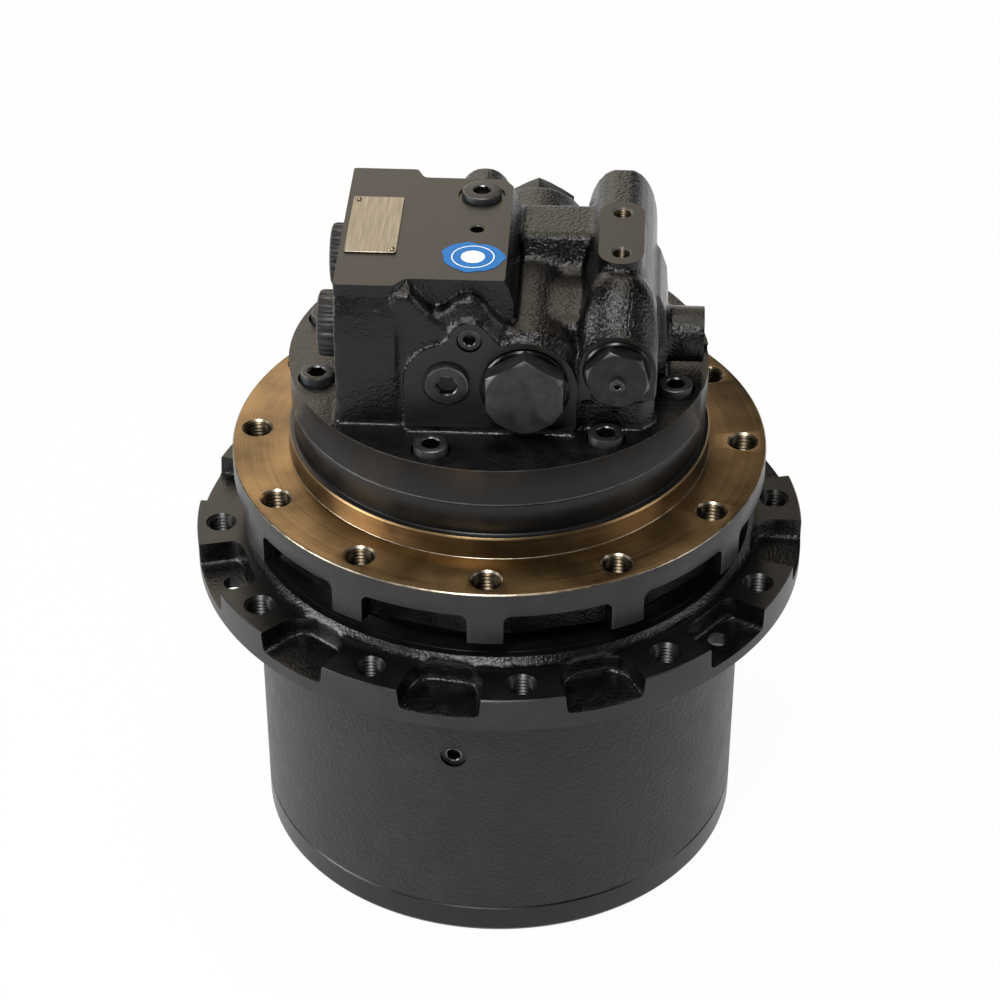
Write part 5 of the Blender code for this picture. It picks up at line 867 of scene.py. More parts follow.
@dataclass
class Hub:
    """The turning side: drum, sprocket flange and end cover."""

    drum: float = 125.0
    seam: float = 16.7
    underside: float = 158.6
    rim: float = 154.25
    rim_top: float = 165.2
    pad_top: float = 177.0
    pad_inner: float = 130.8
    collar: float = 124.0
    collar_top: float = 181.95
    bore: float = 113.0
    pad_first: float = 7.1
    pad_half: float = 6.9
    hole_circle: float = 142.0
    dowel_circle: float = 141.0
    dowel: float = 5.2
    pads: int = 12
    hole: TappedHole = TappedHole(6.9, 16.0, 1.9, PAD_TURNED, turned=THREAD_PAINTED)
    screw_circle: float = 116.0
    screws: int = 12
    plug_offset: float = 76.0
    level_angle: float = -97.6
    level_height: float = 116.0
    body: str = "hub"

    def pad_angle(self, index: float) -> float:
        """Return the angle of a pad in degrees; half an index more gives the gap after it."""
        return self.pad_first + 360 / self.pads * index

    def hole_places(self) -> list[Point]:
        """Return the centres of the pads' holes."""
        return around(self.hole_circle, [self.pad_angle(index) for index in range(self.pads)])

    def on_wall(self, item: bpy.types.Object, reach: float) -> bpy.types.Object:
        """Face a piece outward at the level plug's place, at some distance from the axis."""
        placed(item, reach, 0, 0, Side.RIGHT)
        item.data.transform(Matrix.Rotation(math.radians(self.level_angle), 4, "Z"))
        return placed(item, 0, 0, self.level_height)

    def build(self) -> None:
        """Build the drum, the flange casting, the threads and the cover."""
        self.make_drum()
        self.make_flange()
        self.hole.set_threads("pad_thread", self.hole_places(), self.pad_top, self.body)
        self.make_cover()
        self.make_level_plug()

    def make_drum(self) -> None:
        """Turn the plain drum wall, with its fillet under the flange and the level plug's seat."""
        inner, wall, under = 108.0, self.drum, self.underside
        profile = [(inner, self.seam), (wall - 0.5, self.seam), (wall, self.seam + 0.5),
                   (wall, under - 6), (wall + 0.6, under - 3), (wall + 2.2, under - 0.8),
                   (wall + 5, under + 0.2), (wall + 5, under + 4), (inner, under + 4)]
        drum = lathe("drum", profile, 240, DRUM_CAST)
        bore, seat, floor, end = 4.75, 6.4, wall - 1.6, wall - 9
        profile = [(0, end), (bore, end), (bore, floor), (seat, floor), (seat, wall + 3), (0, wall + 3)]
        change(drum, [self.on_wall(lathe("seat", profile, 32, POCKET_CAST), 0)], Boolean.CUT)
        finish_piece(drum, "drum_wall", self.body, DRUM_CAST, "housing")

    def scoop(self, middle: float, shape: Scoop) -> bpy.types.Object:
        """Make the cutter of one gap between two pads.

        Args:
            middle: angle of the gap's middle, in degrees.
            shape: the kind of gap.

        Returns:
            The cutter.
        """
        half = 180 / self.pads - self.pad_half
        outer, high, slant = self.rim + 12, self.pad_top + 14, 0.6
        stations, straight = 14, 0.35
        sections = []
        for station in range(stations + 1):
            share = 2 * station / stations - 1
            bend = max(0.0, (abs(share) - straight) / (1 - straight))
            reach = shape.inner + shape.corner * (1 - math.sqrt(max(0.0, 1 - bend * bend)))
            blend = (self.rim - reach) / (self.rim - shape.inner)
            edge = self.rim_top + shape.lift * abs(share) ** 3
            floor = max(self.rim_top + (shape.floor - self.rim_top) * blend, edge)
            below = math.radians(middle + half * share * shape.lean)
            above = math.radians(middle + half * share)
            corners = ((below, reach, floor), (below, outer, edge), (above, outer, high),
                       (above, reach - slant, high))
            sections.append([(radius * math.cos(angle), radius * math.sin(angle), height)
                             for angle, radius, height in corners])
        return loft("scoop", sections, POCKET_CAST)

    def make_flange(self) -> None:
        """Cast the sprocket flange and machine its pads, rim and collar."""
        inside, under, spare = 110, 150, 3
        profile = [(inside, under), (self.rim + 2.2, under), (self.rim + 2.2, self.pad_top + spare),
                   (self.pad_inner, self.pad_top + 1.2), (self.collar + 0.6, self.collar_top + spare),
                   (inside, self.collar_top + spare)]
        blank = lathe("blank", profile, 144, POCKET_CAST)
        gaps = [(self.pad_angle(index + 0.5), FLAT_SCOOP if index % 4 == 2 else ROUND_SCOOP)
                for index in range(self.pads)]
        change(blank, [self.scoop(middle, shape) for middle, shape in gaps], Boolean.CUT)
        voxel = 1.15
        casting = grow_casting("flange", [blank], voxel, 8, POCKET_CAST)
        rim, edge = self.rim, 0.6
        envelope = [(self.bore, self.underside), (rim - edge, self.underside),
                    (rim, self.underside + edge), (rim, self.pad_top - edge), (rim - edge, self.pad_top),
                    (self.pad_inner, self.pad_top), (self.pad_inner, self.collar_top),
                    (self.bore, self.collar_top)]
        bands = {4: PAD_TURNED, 5: PAD_TURNED, 6: PAD_TURNED, 7: CASE_TURNED}
        change(casting, [lathe("envelope", envelope, 240, RIM_TURNED, bands)], Boolean.KEEP)
        holes = [self.hole.cutter(place, self.pad_top, POCKET_CAST) for place in self.hole_places()]
        for place in around(self.dowel_circle, [middle for middle, shape in gaps if shape is FLAT_SCOOP]):
            holes.append(placed(rod("dowel", self.dowel, 150, 185, POCKET_CAST, 32), *place, 0))
        change(casting, [join_kept("holes", holes)], Boolean.CUT)
        finish_piece(casting, "sprocket_flange", self.body, POCKET_CAST)
        inner, low, top = self.collar - 1.4, self.collar_top - 2.4, self.collar_top + 0.05
        lip = [(inner, low), (self.collar, low), (self.collar, self.collar_top - 0.5),
               (self.collar - 0.6, top), (inner, top)]
        finish_piece(lathe("lip", lip, 240, CASE_TURNED), "collar_lip", self.body, CASE_TURNED)

    def make_cover(self) -> None:
        """Turn the end cover with its sunk screws and two plugs."""
        top = self.seam - 0.3
        profile = [(0, 2), (52, 2), (56, 0), (121.8, 0), (123.8, 0.7), (125, 2.6), (125, self.seam - 0.9),
                   (124.4, top), (104, top), (104, 12), (0, 12)]
        cover = lathe("cover", profile, 240, CASE_TURNED)
        step = 360 / self.screws
        places = around(self.screw_circle, [step * (index + 0.5) for index in range(self.screws)])
        tools = [placed(rod("recess", 7.2, -1, 8.5, CASE_TURNED, 32), *place, 0) for place in places]
        for y in (-self.plug_offset, self.plug_offset):
            tools.append(placed(rod("seat", 11.6, -1, 6.3, CASE_TURNED, 48), 0, y, 0))
        change(cover, tools, Boolean.CUT)
        finish_piece(cover, "cover_casting", self.body, CASE_TURNED, "end_cover")
        for index, place in enumerate(places):
            screw = placed(SocketScrew(6.5, 6.5, 3.4).build(), *place, 8.4, Side.DOWN)
            finish_piece(screw, f"cover_screw_{index + 1}", self.body, OXIDE)
        for name, y in (("fill_plug", self.plug_offset), ("drain_plug", -self.plug_offset)):
            plug = placed(SocketScrew(11, 5, 5.2).build(), 0, y, 6.0, Side.DOWN)
            finish_piece(plug, f"cover_{name}", self.body, OXIDE, name)

    def make_level_plug(self) -> None:
        """Sink the small level plug into the drum wall."""
        plug = self.on_wall(SocketScrew(4.7, 6, 3.5, 0.9).build(), self.drum - 7.4)
        finish_piece(plug, "drum_level_plug", self.body, OXIDE_GLOSS, "level_plug")


@dataclass
class SocketScrew:
    """A round head with a hexagon socket, standing on Z = 0."""

    head: float
    height: float
    socket: float
    edge: float = 0.7

    def build(self, steps: int = 48) -> bpy.types.Object:
        """Make the head with its chamfer and socket.

        Args:
            steps: facets round the head.

        Returns:
            The head.
        """
        top, edge = self.height, self.edge
        shoulder = 0.3 * edge
        profile = [(0, 0), (self.head, 0), (self.head, top - edge), (self.head - shoulder, top - shoulder),
                   (self.head - edge, top), (0, top)]
        item = lathe("screw", profile, steps, OXIDE, {3: OXIDE_EDGE})
        floor, mouth, lead = 0.35 * top, 1.05 * self.socket, 0.6
        hexagon = arc((0, 0), self.socket, 0, 360, 6)[:-1]
        # The socket's walls take near-black oxide as painted shade
        key = prism("key", hexagon, floor, top + 1, OXIDE_GLOSS)
        profile = [(0, top - lead), (mouth - lead, top - lead), (mouth, top + 0.1), (0, top + 0.1)]
        return change(item, [key, lathe("lead", profile, steps, OXIDE_EDGE)], Boolean.CUT)


@dataclass
class FrameSide:
    """The standing side below the valve block: frame flange, pilot and motor case."""

    radius: float = 133.8
    bottom: float = 194.9
    top: float = 223.6
    pocket_top: float = 211.0
    pocket_corner: float = 4.0
    pocket_drum: float = 125.5
    land_half: float = 3.7
    hole_circle: float = 122.0
    lands: int = 12
    # The pale rim of each hole's mouth is a painted highlight line
    hole: TappedHole = TappedHole(7.1, 20.0, 2.0, EDGE_BRIGHT)
    body: str = "frame_side"

    def pocket(self, middle: float) -> bpy.types.Object:
        """Make the cutter of one pocket between two lands.

        Args:
            middle: angle of the pocket's middle, in degrees.

        Returns:
            The cutter.
        """
        half = 180 / self.lands - self.land_half
        corner, steps = math.degrees(self.pocket_corner / self.radius), 5
        right = []
        for step in range(steps + 1):
            angle = math.pi / 2 * step / steps
            right.append((half - corner * (1 - math.cos(angle)),
                          self.pocket_top - self.pocket_corner * (1 - math.sin(angle))))
        left = [(-across, height) for across, height in right]
        inner, outer, low = self.pocket_drum, self.radius + 3, self.bottom - 5
        sections = []
        for across, height in left + right[::-1]:
            angle = math.radians(middle + across)
            corners = ((inner, low), (outer, low), (outer, height), (inner, height))
            sections.append([(radius * math.cos(angle), radius * math.sin(angle), level)
                             for radius, level in corners])
        return loft("pocket", sections, POCKET_CAST)

    def build(self) -> None:
        """Turn the case, cut the pockets and holes, and set the threads."""
        profile = [
            (100, 175), (112.4, 175), (112.4, self.bottom), (self.radius, self.bottom),
            (self.radius, self.top - 0.7), (self.radius - 0.7, self.top), (105.5, self.top),
            (105.2, self.top + 0.3), (105.0, 234.0), (104.3, 235.0), (102.9, 235.1), (101.9, 235.8),
            (102.5, 236.8), (102.5, 251.8), (101.8, 252.5), (96, 252.5), (96, 175),
        ]
        # Stretches 4 and 6, the flange's top chamfer and the pilot's foot, take a pale line painted as
        # highlight
        bands = {1: POCKET_CAST, 2: POCKET_CAST, 3: RIM_TURNED, 4: EDGE_BRIGHT, 6: EDGE_BRIGHT}
        bands.update({stretch: CASE_TURNED for stretch in range(9, 15)})
        case = lathe("case", profile, 240, FLANGE_TURNED, bands)
        pockets = [self.pocket(360 / self.lands * (index + 0.5)) for index in range(self.lands)]
        change(case, pockets, Boolean.CUT)
        break_edges(case, 0.6, 2, 42.0)
        places = around(self.hole_circle, [360 / self.lands * index for index in range(self.lands)])
        holes = [self.hole.cutter(place, self.top, POCKET_CAST) for place in places]
        change(case, [join_kept("holes", holes)], Boolean.CUT)
        finish_piece(case, "frame_flange", self.body, FLANGE_TURNED, "motor_case")
        self.hole.set_threads("frame_thread", places, self.top, self.body)


@dataclass
class ValveBlock:
    """The cast valve block with its milled faces."""

    top: float = 347.6
    front: float = -69.5
    base: float = 272.8
    base_radius: float = 103.05
    bottom: float = 252.7
    spool: Point = (15.5, 297.0)
    gauge: Point = (-21.0, 298.5)
    pilot: Point = (-10.5, 321.5)
    speed: Point = (58.5, 306.5)
    spool_front: float = 67.9
    spool_back: float = 73.6
    ridge: float = 58.5
    ports: Point = (-31.0, 33.0)
    port_height: float = 306.0
    drain: Point = (-8.0, 291.0)
    top_port: Point = (-9.5, 22.0)
    bolt_circle: float = 91.5
    bolt_angles: tuple[float, ...] = (19.2, 54.0, 107.6, 163.0, 198.0, 252.4, 306.0, 340.8)
    lug_holes: tuple[float, ...] = (-29.0, 8.5)
    # The pale rim of its mouth is a painted highlight
    lug_hole: TappedHole = TappedHole(4.3, 14.0, 1.25, EDGE_PAINTED_HIGHLIGHT, 0.8, 28)
    body: str = "frame_side"

    def along_y(self, outline: Sequence[Point], front: float, back: float) -> bpy.types.Object:
        """Extrude an (x, z) outline along Y."""
        item = prism("form", outline, -back, -front, BLOCK_CAST)
        item.data.transform(Matrix.Rotation(math.pi / 2, 4, "X"))
        return item

    def along_x(self, outline: Sequence[Point], left: float, right: float) -> bpy.types.Object:
        """Extrude a (y, z) outline along X."""
        item = prism("form", outline, left, right, BLOCK_CAST)
        item.data.transform(Matrix(((0, 0, 1, 0), (1, 0, 0, 0), (0, 1, 0, 0), (0, 0, 0, 1))))
        return item

    def barrel(self, radius: float, centre: Point, front: float, back: float) -> bpy.types.Object:
        """Make a round cast barrel along Y."""
        bar = rod("barrel", radius, -back, -front, BLOCK_CAST, 48)
        return placed(bar, centre[0], 0, centre[1], Side.FRONT)

    def pad(self, grow: float, front: float, back: float, low: float) -> bpy.types.Object:
        """Make the front pad's form.

        Args:
            grow: margin that its outline is grown by.
            front: Y of its front.
            back: Y of its back.
            low: lower height.

        Returns:
            The form.
        """
        round_spool = 23.4 + grow
        outline = [(-40.5 - grow, low), (self.spool[0] + round_spool, low)]
        outline += arc(self.spool, round_spool, 0, 118, 14)
        outline += arc(self.pilot, 8.8 + grow, 30, 178, 10)
        outline += arc(self.gauge, 19.5 + grow, 98, 180, 9)
        return self.along_y(outline, front, back)

    def rolled_forms(self, low: float) -> list[bpy.types.Object]:
        """Make the forms that roll over in steps: the wavy shoulder, its cheek and the ridge's end.

        Args:
            low: height of their lower ends.

        Returns:
            The forms.
        """
        wave = [(-47, low), (42.5, low), (42.5, 308), (39, 316), (34, 321), (27, 324), (19, 325.4),
                (11, 325.8), (5, 328), (0, 334), (-4.5, 340), (-10.5, 343), (-16.5, 341), (-22, 335.6),
                (-27, 333.4), (-32, 337), (-38, 345), (-47, 345)]
        cheek = [(-46, low), (-40.5, low), (-40.8, 300), (-38.5, 310), (-32, 317), (-24, 319.5),
                 (-19, 322), (-18, 326), (-22, 330), (-30, 336), (-38, 345.5), (-46, 345.5)]
        # Each form's outline, then its stations: how far the outline has sunk at each Y
        rolls = ((wave, ((3.2, -45), (2.4, -54), (1.4, -58), (0.4, -60.5), (0, -62), (1.0, -63.8),
                         (3.0, -65.2), (7.0, -66.0))),
                 (cheek, ((0, -50), (0, -60), (0.6, -63), (1.8, -65.6), (4.4, -67.2))))
        forms = []
        for outline, stations in rolls:
            sections = [[(x, y, max(low, z - fall)) for x, z in outline] for fall, y in stations]
            forms.append(loft("roll", sections, BLOCK_CAST))
        # The ridge's end: its top, half its width and the Y of each station
        stations = ((343.6, 17.4, -40), (343.6, 17.4, -45.5), (342.9, 17.6, -48), (341.0, 18.0, -51.5),
                    (337.9, 18.4, -55), (334.0, 18.6, -58.5), (329.9, 18.5, -62), (326.6, 18.2, -65.5),
                    (324.6, 17.8, -68.5))
        sections = []
        for top, half, y in stations:
            dome = [(self.ridge - half, 290), (self.ridge + half, 290)]
            dome += arc((self.ridge, top - half), half, 0, 180, 18)
            sections.append([(x, y, z) for x, z in dome])
        forms.append(loft("dome", sections, BLOCK_CAST))
        return forms

    def cores(self) -> list[bpy.types.Object]:
        """Make the rough forms that the casting grows from.

        Returns:
            Overlapping closed forms.
        """
        above = self.top + 2.5
        low = 262.0
        left_body = [(-73.6, -64.8), (-45.5, -64.8), (-41, -57.9), (5, -57.9), (5, 32), (1, 38.3),
                     (-38.5, 38.3), (-42, 46.3), (-73.6, 46.3)]
        shoulder = [(0, low), (10.4, low), (10.4, 332), (9.4, 338), (7.6, 343), (5.6, 347), (4.4, 350.5),
                    (0, 350.5)]
        brow = [(-55, low), (-66.5, low), (-68.2, 285), (-69.6, 302), (-69.8, 322), (-68.2, 333),
                (-65.2, 341), (-60, 345), (-55, 345)]
        rear_body = [(-73.6, 30), (40, 30), (40, 62), (30, 73), (-62, 73), (-73.6, 62)]
        inner = [(3, -54), (46, -54), (46, 64), (3, 64)]
        foot = [(42, -62), (46, -66), (70, -66), (76, -60), (76, 56), (68, 65), (42, 65)]
        valley = [(-52, 300), (40, 300), (40, 332), (36, 335.4), (8.5, 335.6), (6.3, 334.6), (4.0, 329),
                  (1, 322), (-5, 319.6), (-12, 321.2), (-20, 322.4), (-44, 322.6), (-50, 321.0),
                  (-52, 318)]
        ridge = [(41, 296), (76, 296), (76, 316), (75.4, 324), (73.6, 331.5), (70.8, 337.5),
                 (67.4, 341.6), (63.4, 343.8), (53.6, 343.8), (49.6, 341.6), (46.2, 337.5),
                 (43.4, 331.5), (41.6, 324), (41, 316)]
        lug = []
        for y, start in zip(self.lug_holes, (180, 0)):
            lug += arc((self.ridge, y), 10.8, start, start + 180, 16)
        web = [(70, low), (81, low), (82, 300), (81, 312), (77.5, 322), (70, 326)]
        forms = self.rolled_forms(low) + [
            prism("body", left_body, low, above, BLOCK_CAST, 1.012),
            self.along_y(shoulder, -57.9, 32),
            self.along_x(brow, -73.6, -44.5),
            prism("rear_body", rear_body, low, 317, BLOCK_CAST),
            prism("inner_body", inner, low, 307, BLOCK_CAST),
            prism("foot", foot, low, 307.5, BLOCK_CAST, 1.01),
            self.along_x(valley, 2, 47),
            self.along_y(ridge, -45.5, 59),
            prism("lug", lug, 330, above, BLOCK_CAST),
            self.along_y(web, -27, 22),
            self.barrel(27.3, self.spool, -64, 75.5),
            self.barrel(12.3, self.pilot, -66, 76),
            self.barrel(14.5, (-34, 310), 40, 74),
            self.barrel(17.6, self.speed, -71, 71),
            self.pad(0.5, -72.5, -50, low),
            self.pad(2.6, -67.8, -50, low),
            self.pad(5.2, -66.2, -50, low),
            placed(rod("drain", 13.6, 55, 101.5, BLOCK_CAST, 40), 0, *self.drain, Side.RIGHT),
        ]
        for y in self.ports:
            forms.append(placed(rod("port", 19, 70, 78, BLOCK_CAST, 40), 0, y, self.port_height, Side.LEFT))
        return forms + [rod("disc", 110, 246, self.base, BLOCK_CAST, 160)]

    def bolt_places(self) -> list[Point]:
        """Return the centres of the block bolts."""
        return around(self.bolt_circle, self.bolt_angles)

    def tools(self) -> list[bpy.types.Object]:
        """Make the cutters that machine the casting.

        Returns:
            The cutters, each with the finish it leaves.
        """
        mill = BLOCK_MILLED
        sx, sz = self.spool
        rim = [(self.base_radius, 240), (120, 240), (120, 275.5), (105, 275.5), (self.base_radius, 272.0),
               (self.base_radius, 253.4)]
        cuts = [
            box((-95, -85, self.top), (95, 95, 365), mill),
            box((-46, -95, 276), (40.3, self.front, 336), mill),
            box((40.5, -95, 284), (82, -67.9, 330), mill),
            box((-95, -56, 282), (-75.6, 60, 330), mill),
            box((99.5, -30, 270), (120, 12, 310), mill),
            box((-130, -130, 235), (130, 130, self.bottom), mill),
            # The disc's top chamfer and the thin band at its seam take a pale line painted as highlight
            lathe("rim", rim, 240, CASE_TURNED, {3: EDGE_PAINTED_HIGHLIGHT, 5: EDGE_PAINTED_HIGHLIGHT}),
            placed(rod("spot", 21.4, self.spool_front, 90, mill, 64), sx, 0, sz, Side.FRONT),
            placed(rod("spot", 21.4, self.spool_back, 95, mill, 64), sx, 0, sz, Side.BACK),
            placed(rod("spot", 12.0, 68.7, 80, mill, 48), self.gauge[0], 0, self.gauge[1], Side.FRONT),
            # This seat and the walls of the holes below take near-black oxide as painted shade
            placed(rod("seat", 5.9, 60, 80, OXIDE_GLOSS, 32), self.pilot[0], 0, self.pilot[1], Side.FRONT),
            placed(rod("spot", 11.4, self.top - 1, 360, mill, 48), *self.top_port, 0),
            placed(rod("drain", 8.5, 82, 110, mill, 40, 8.9), 0, *self.drain, Side.RIGHT),
        ]
        # The small hole's mouth takes the same painted highlight
        small = TappedHole(3.2, 12.0, 1.0, EDGE_PAINTED_HIGHLIGHT, 0.6, 24)
        cuts.append(small.cutter((-10, -10.5), self.top, OXIDE_GLOSS))
        for place in self.lug_places():
            cuts.append(self.lug_hole.cutter(place, self.top, OXIDE_GLOSS))
        for place in self.bolt_places():
            cuts.append(placed(rod("access", 9.4, 268.3, 296, BLOCK_CAST, 32, 9.9), *place, 0))
        return cuts

    def lug_places(self) -> list[Point]:
        """Return the centres of the lug's two holes."""
        return [(self.ridge, y) for y in self.lug_holes]

    def smooth_foot(self, block: bpy.types.Object) -> None:
        """Give the cast top of the disc the smoother enamel that pools there.

        Args:
            block: the machined casting.
        """
        block.data.materials.append(POCKET_CAST.material())
        cast = block.data.materials.find(BLOCK_CAST.name)
        smooth, pool_depth = len(block.data.materials) - 1, 1.2
        for face in block.data.polygons:
            if face.material_index == cast and face.center.z < (self.base + pool_depth) * MM:
                face.material_index = smooth

    def build(self) -> None:
        """Cast and machine the block, then set its threads."""
        voxel, passes = ((1.05, 11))
        block = grow_casting("block", self.cores(), voxel, passes, BLOCK_CAST)
        carve(block, self.tools())
        self.smooth_foot(block)
        finish_piece(block, "valve_casting", self.body, BLOCK_CAST, "valve_block")
        self.lug_hole.set_threads("lug_thread", self.lug_places(), self.top, self.body)


@dataclass
class HexPlug:
    """A hexagon head on a round collar, standing on Z = 0."""

    across: float
    height: float
    collar: float
    collar_height: float
    twist: float = 0.0
    finish: Finish = OXIDE

    def build(self) -> bpy.types.Object:
        """Make the plug's head with its turned chamfer.

        Returns:
            The head and its collar as one piece.
        """
        corner, flat = self.across / math.sqrt(3), self.across / 2 + 0.3
        low, total = self.collar_height - 0.5, self.height + self.collar_height
        outline = arc((0, 0), corner, 90 + self.twist, 450 + self.twist, 6)[:-1]
        hexagon = prism("hex", outline, low, total, self.finish)
        chamfer_slope = 0.55
        wide = corner + 2
        fall = (wide - flat) * chamfer_slope
        profile = [(0, -1), (wide, -1), (wide, total - fall), (flat, total), (0, total)]
        cone = lathe("cone", profile, 96, self.finish, {2: OXIDE_EDGE})
        change(hexagon, [cone], Boolean.KEEP)
        break_edges(hexagon, 0.45, 2, 20.0, OXIDE_EDGE)
        top, edge = self.collar_height, 0.7
        profile = [(0, -3), (self.collar, -3), (self.collar, top - edge), (self.collar - edge, top), (0, top)]
        # The collar under the hexagon is near black as painted shade
        return join_kept("plug", [hexagon, lathe("collar", profile, 72, OXIDE_GLOSS)])


@dataclass
class BlockFittings:
    """Plugs, caps, screws, plate and seal sticker on the valve block."""

    block: ValveBlock
    body: str = "frame_side"

    def build(self) -> None:
        """Build every fitting."""
        self.make_hex_plugs()
        self.make_socket_plugs()
        self.make_screws()
        self.make_caps()
        self.make_plate()
        self.make_seal_sticker()

    def make_hex_plugs(self) -> None:
        """Build the two spool plugs and the speed valve plug with its bleed screw."""
        block = self.block
        x, z = block.spool
        front = placed(HexPlug(36, 9.5, 20.4, 2.6).build(), x, -block.spool_front, z, Side.FRONT)
        finish_piece(front, "front_plug", self.body, OXIDE, "front_spool_plug")
        back = placed(HexPlug(36, 12.5, 20.4, 10.5).build(), x, block.spool_back, z, Side.BACK)
        finish_piece(back, "rear_plug", self.body, OXIDE, "rear_spool_plug")
        x, z = block.speed
        speed = placed(HexPlug(27, 7.0, 16.2, 1.6, 14, OXIDE_DARK).build(), x, -68.0, z, Side.FRONT)
        finish_piece(speed, "speed_plug", self.body, OXIDE_DARK, "speed_valve_plug")
        bleed = placed(SocketScrew(3.5, 3.0, 1.7, 0.4).build(32), x, -76.2, z - 1.5, Side.FRONT)
        finish_piece(bleed, "bleed_socket_screw", self.body, OXIDE_EDGE, "bleed_screw")

    def make_socket_plugs(self) -> None:
        """Build the round plugs with hexagon sockets."""
        x, z = self.block.gauge
        gauge = placed(SocketScrew(10.4, 3.4, 5.2, 0.9).build(), x, -68.8, z, Side.FRONT)
        finish_piece(gauge, "gauge_plug", self.body, OXIDE, "gauge_port_plug")
        x, z = self.block.pilot
        pilot = placed(SocketScrew(5.5, 6, 3.1, 0.5).build(), x, -62.5, z, Side.FRONT)
        finish_piece(pilot, "pilot_plug", self.body, OXIDE, "pilot_port_plug")
        top = placed(SocketScrew(9.6, 3.9, 4.4, 1.0).build(), *self.block.top_port, self.block.top - 0.9)
        finish_piece(top, "top_plug", self.body, OXIDE, "top_port_plug")

    def make_screws(self) -> None:
        """Build the block bolts' heads."""
        for number, place in enumerate(self.block.bolt_places(), 1):
            screw = placed(SocketScrew(8.2, 8.2, 4.7, 0.9).build(), *place, 268.4, twist=17.0 * (number - 1))
            finish_piece(screw, f"block_screw_{number}", self.body, OXIDE_GLOSS, f"block_bolt_{number}")

    def make_caps(self) -> None:
        """Build the two ribbed shipping caps."""
        ribs, rib_depth = 24, 0.7
        profile = [(0, -4), (11, -4), (11, 0), (15.6, 0), (16, 0.6), (16, 6.6), (15.4, 8.2), (13.6, 9),
                   (9, 9), (8, 7.6), (0, 7.6)]
        for name, y in zip(("front_port_cap", "rear_port_cap"), self.block.ports):
            cap = lathe("cap", profile, 144, CAP_PLASTIC, None, rib_depth, ribs)
            placed(cap, -75.7, y, self.block.port_height, Side.LEFT)
            finish_piece(cap, name + "_moulding", self.body, CAP_PLASTIC, name)

    def make_plate(self) -> None:
        """Build the bare plate and its two rivets."""
        low, thickness = self.block.top + 0.1, 0.8
        left, right, front, back = -70, -47.5, -35, 15.5
        outline = []
        for quarter, corner in enumerate(((right, back), (left, back), (left, front), (right, front))):
            outline += arc(corner, 1.0, 90 * quarter, 90 * quarter + 90, 4)
        plate = prism("plate", outline, low, low + thickness, PLATE_SHEET)
        break_edges(plate, 0.15, 1, 60.0)
        finish_piece(plate, "bare_plate", self.body, PLATE_SHEET, "blank_plate")
        for number, place in enumerate(((-68.6, 13.6), (-48.9, -33.0)), 1):
            head = lathe("rivet", [(0, 0), (1.7, 0), (1.5, 0.6), (0.8, 1.0), (0, 1.1)], 24, EDGE_BRIGHT)
            finish_piece(placed(head, *place, low + 0.75), f"plate_rivet_{number}", self.body, EDGE_BRIGHT)

    def make_seal_sticker(self) -> None:
        """Lay the plain round film on the milled top."""
        x, y, low = -10.5, -37.0, self.block.top + 0.05
        printed, raised, steps = low + 0.1, low + 0.2, 144
        outline = []
        for step in range(steps):
            angle = TURN * step / steps
            reach = 13.9 + 0.8 * math.cos(2 * angle + 0.6) + 0.5 * math.sin(3 * angle + 0.7)
            reach += 0.35 * math.sin(7 * angle + 1.3) + 0.25 * math.cos(11 * angle)
            outline.append((reach * math.cos(angle), reach * math.sin(angle)))
        film = placed(prism("film", outline, low, low + 0.15, FILM_BLUE), x, y, 0)
        finish_piece(film, "round_film", self.body, FILM_BLUE)
        disc = placed(rod("disc", 5.6, printed, raised, FILM_WHITE, 48), x, y, 0)
        finish_piece(disc, "film_centre", self.body, FILM_WHITE)
        profile = [(9.6, printed), (10.1, printed), (10.1, raised), (9.6, raised)]
        ring = placed(lathe("ring", profile, 64, FILM_WHITE), x, y, 0)
        finish_piece(ring, "film_ring", self.body, FILM_WHITE)


def dress_inner_parts() -> None:
    """Give each CAD node that stays its finish."""
    rules = (
        (("planet", "sun"), GEAR_GROUND),
        (("carrier", "bearing", "ring", "shaft", "swash", "spool", "piston", "brake", "cylinder", "nut"),
         RACE_GROUND),
    )
    bronze = {"piston_set", "valve_plate", "brake_disc"}
    for name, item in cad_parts.items():
        finish = next((rule for words, rule in rules if any(word in name for word in words)), BLOCK_CAST)
        if name in bronze:
            finish = SHOE_BRONZE
        if name == "shaft_seal":
            finish = SEAL_RUBBER
        if not item.data.materials:
            item.data.materials.append(finish.material())
        for slot in item.material_slots:
            slot.material = finish.material()


# ---- studio


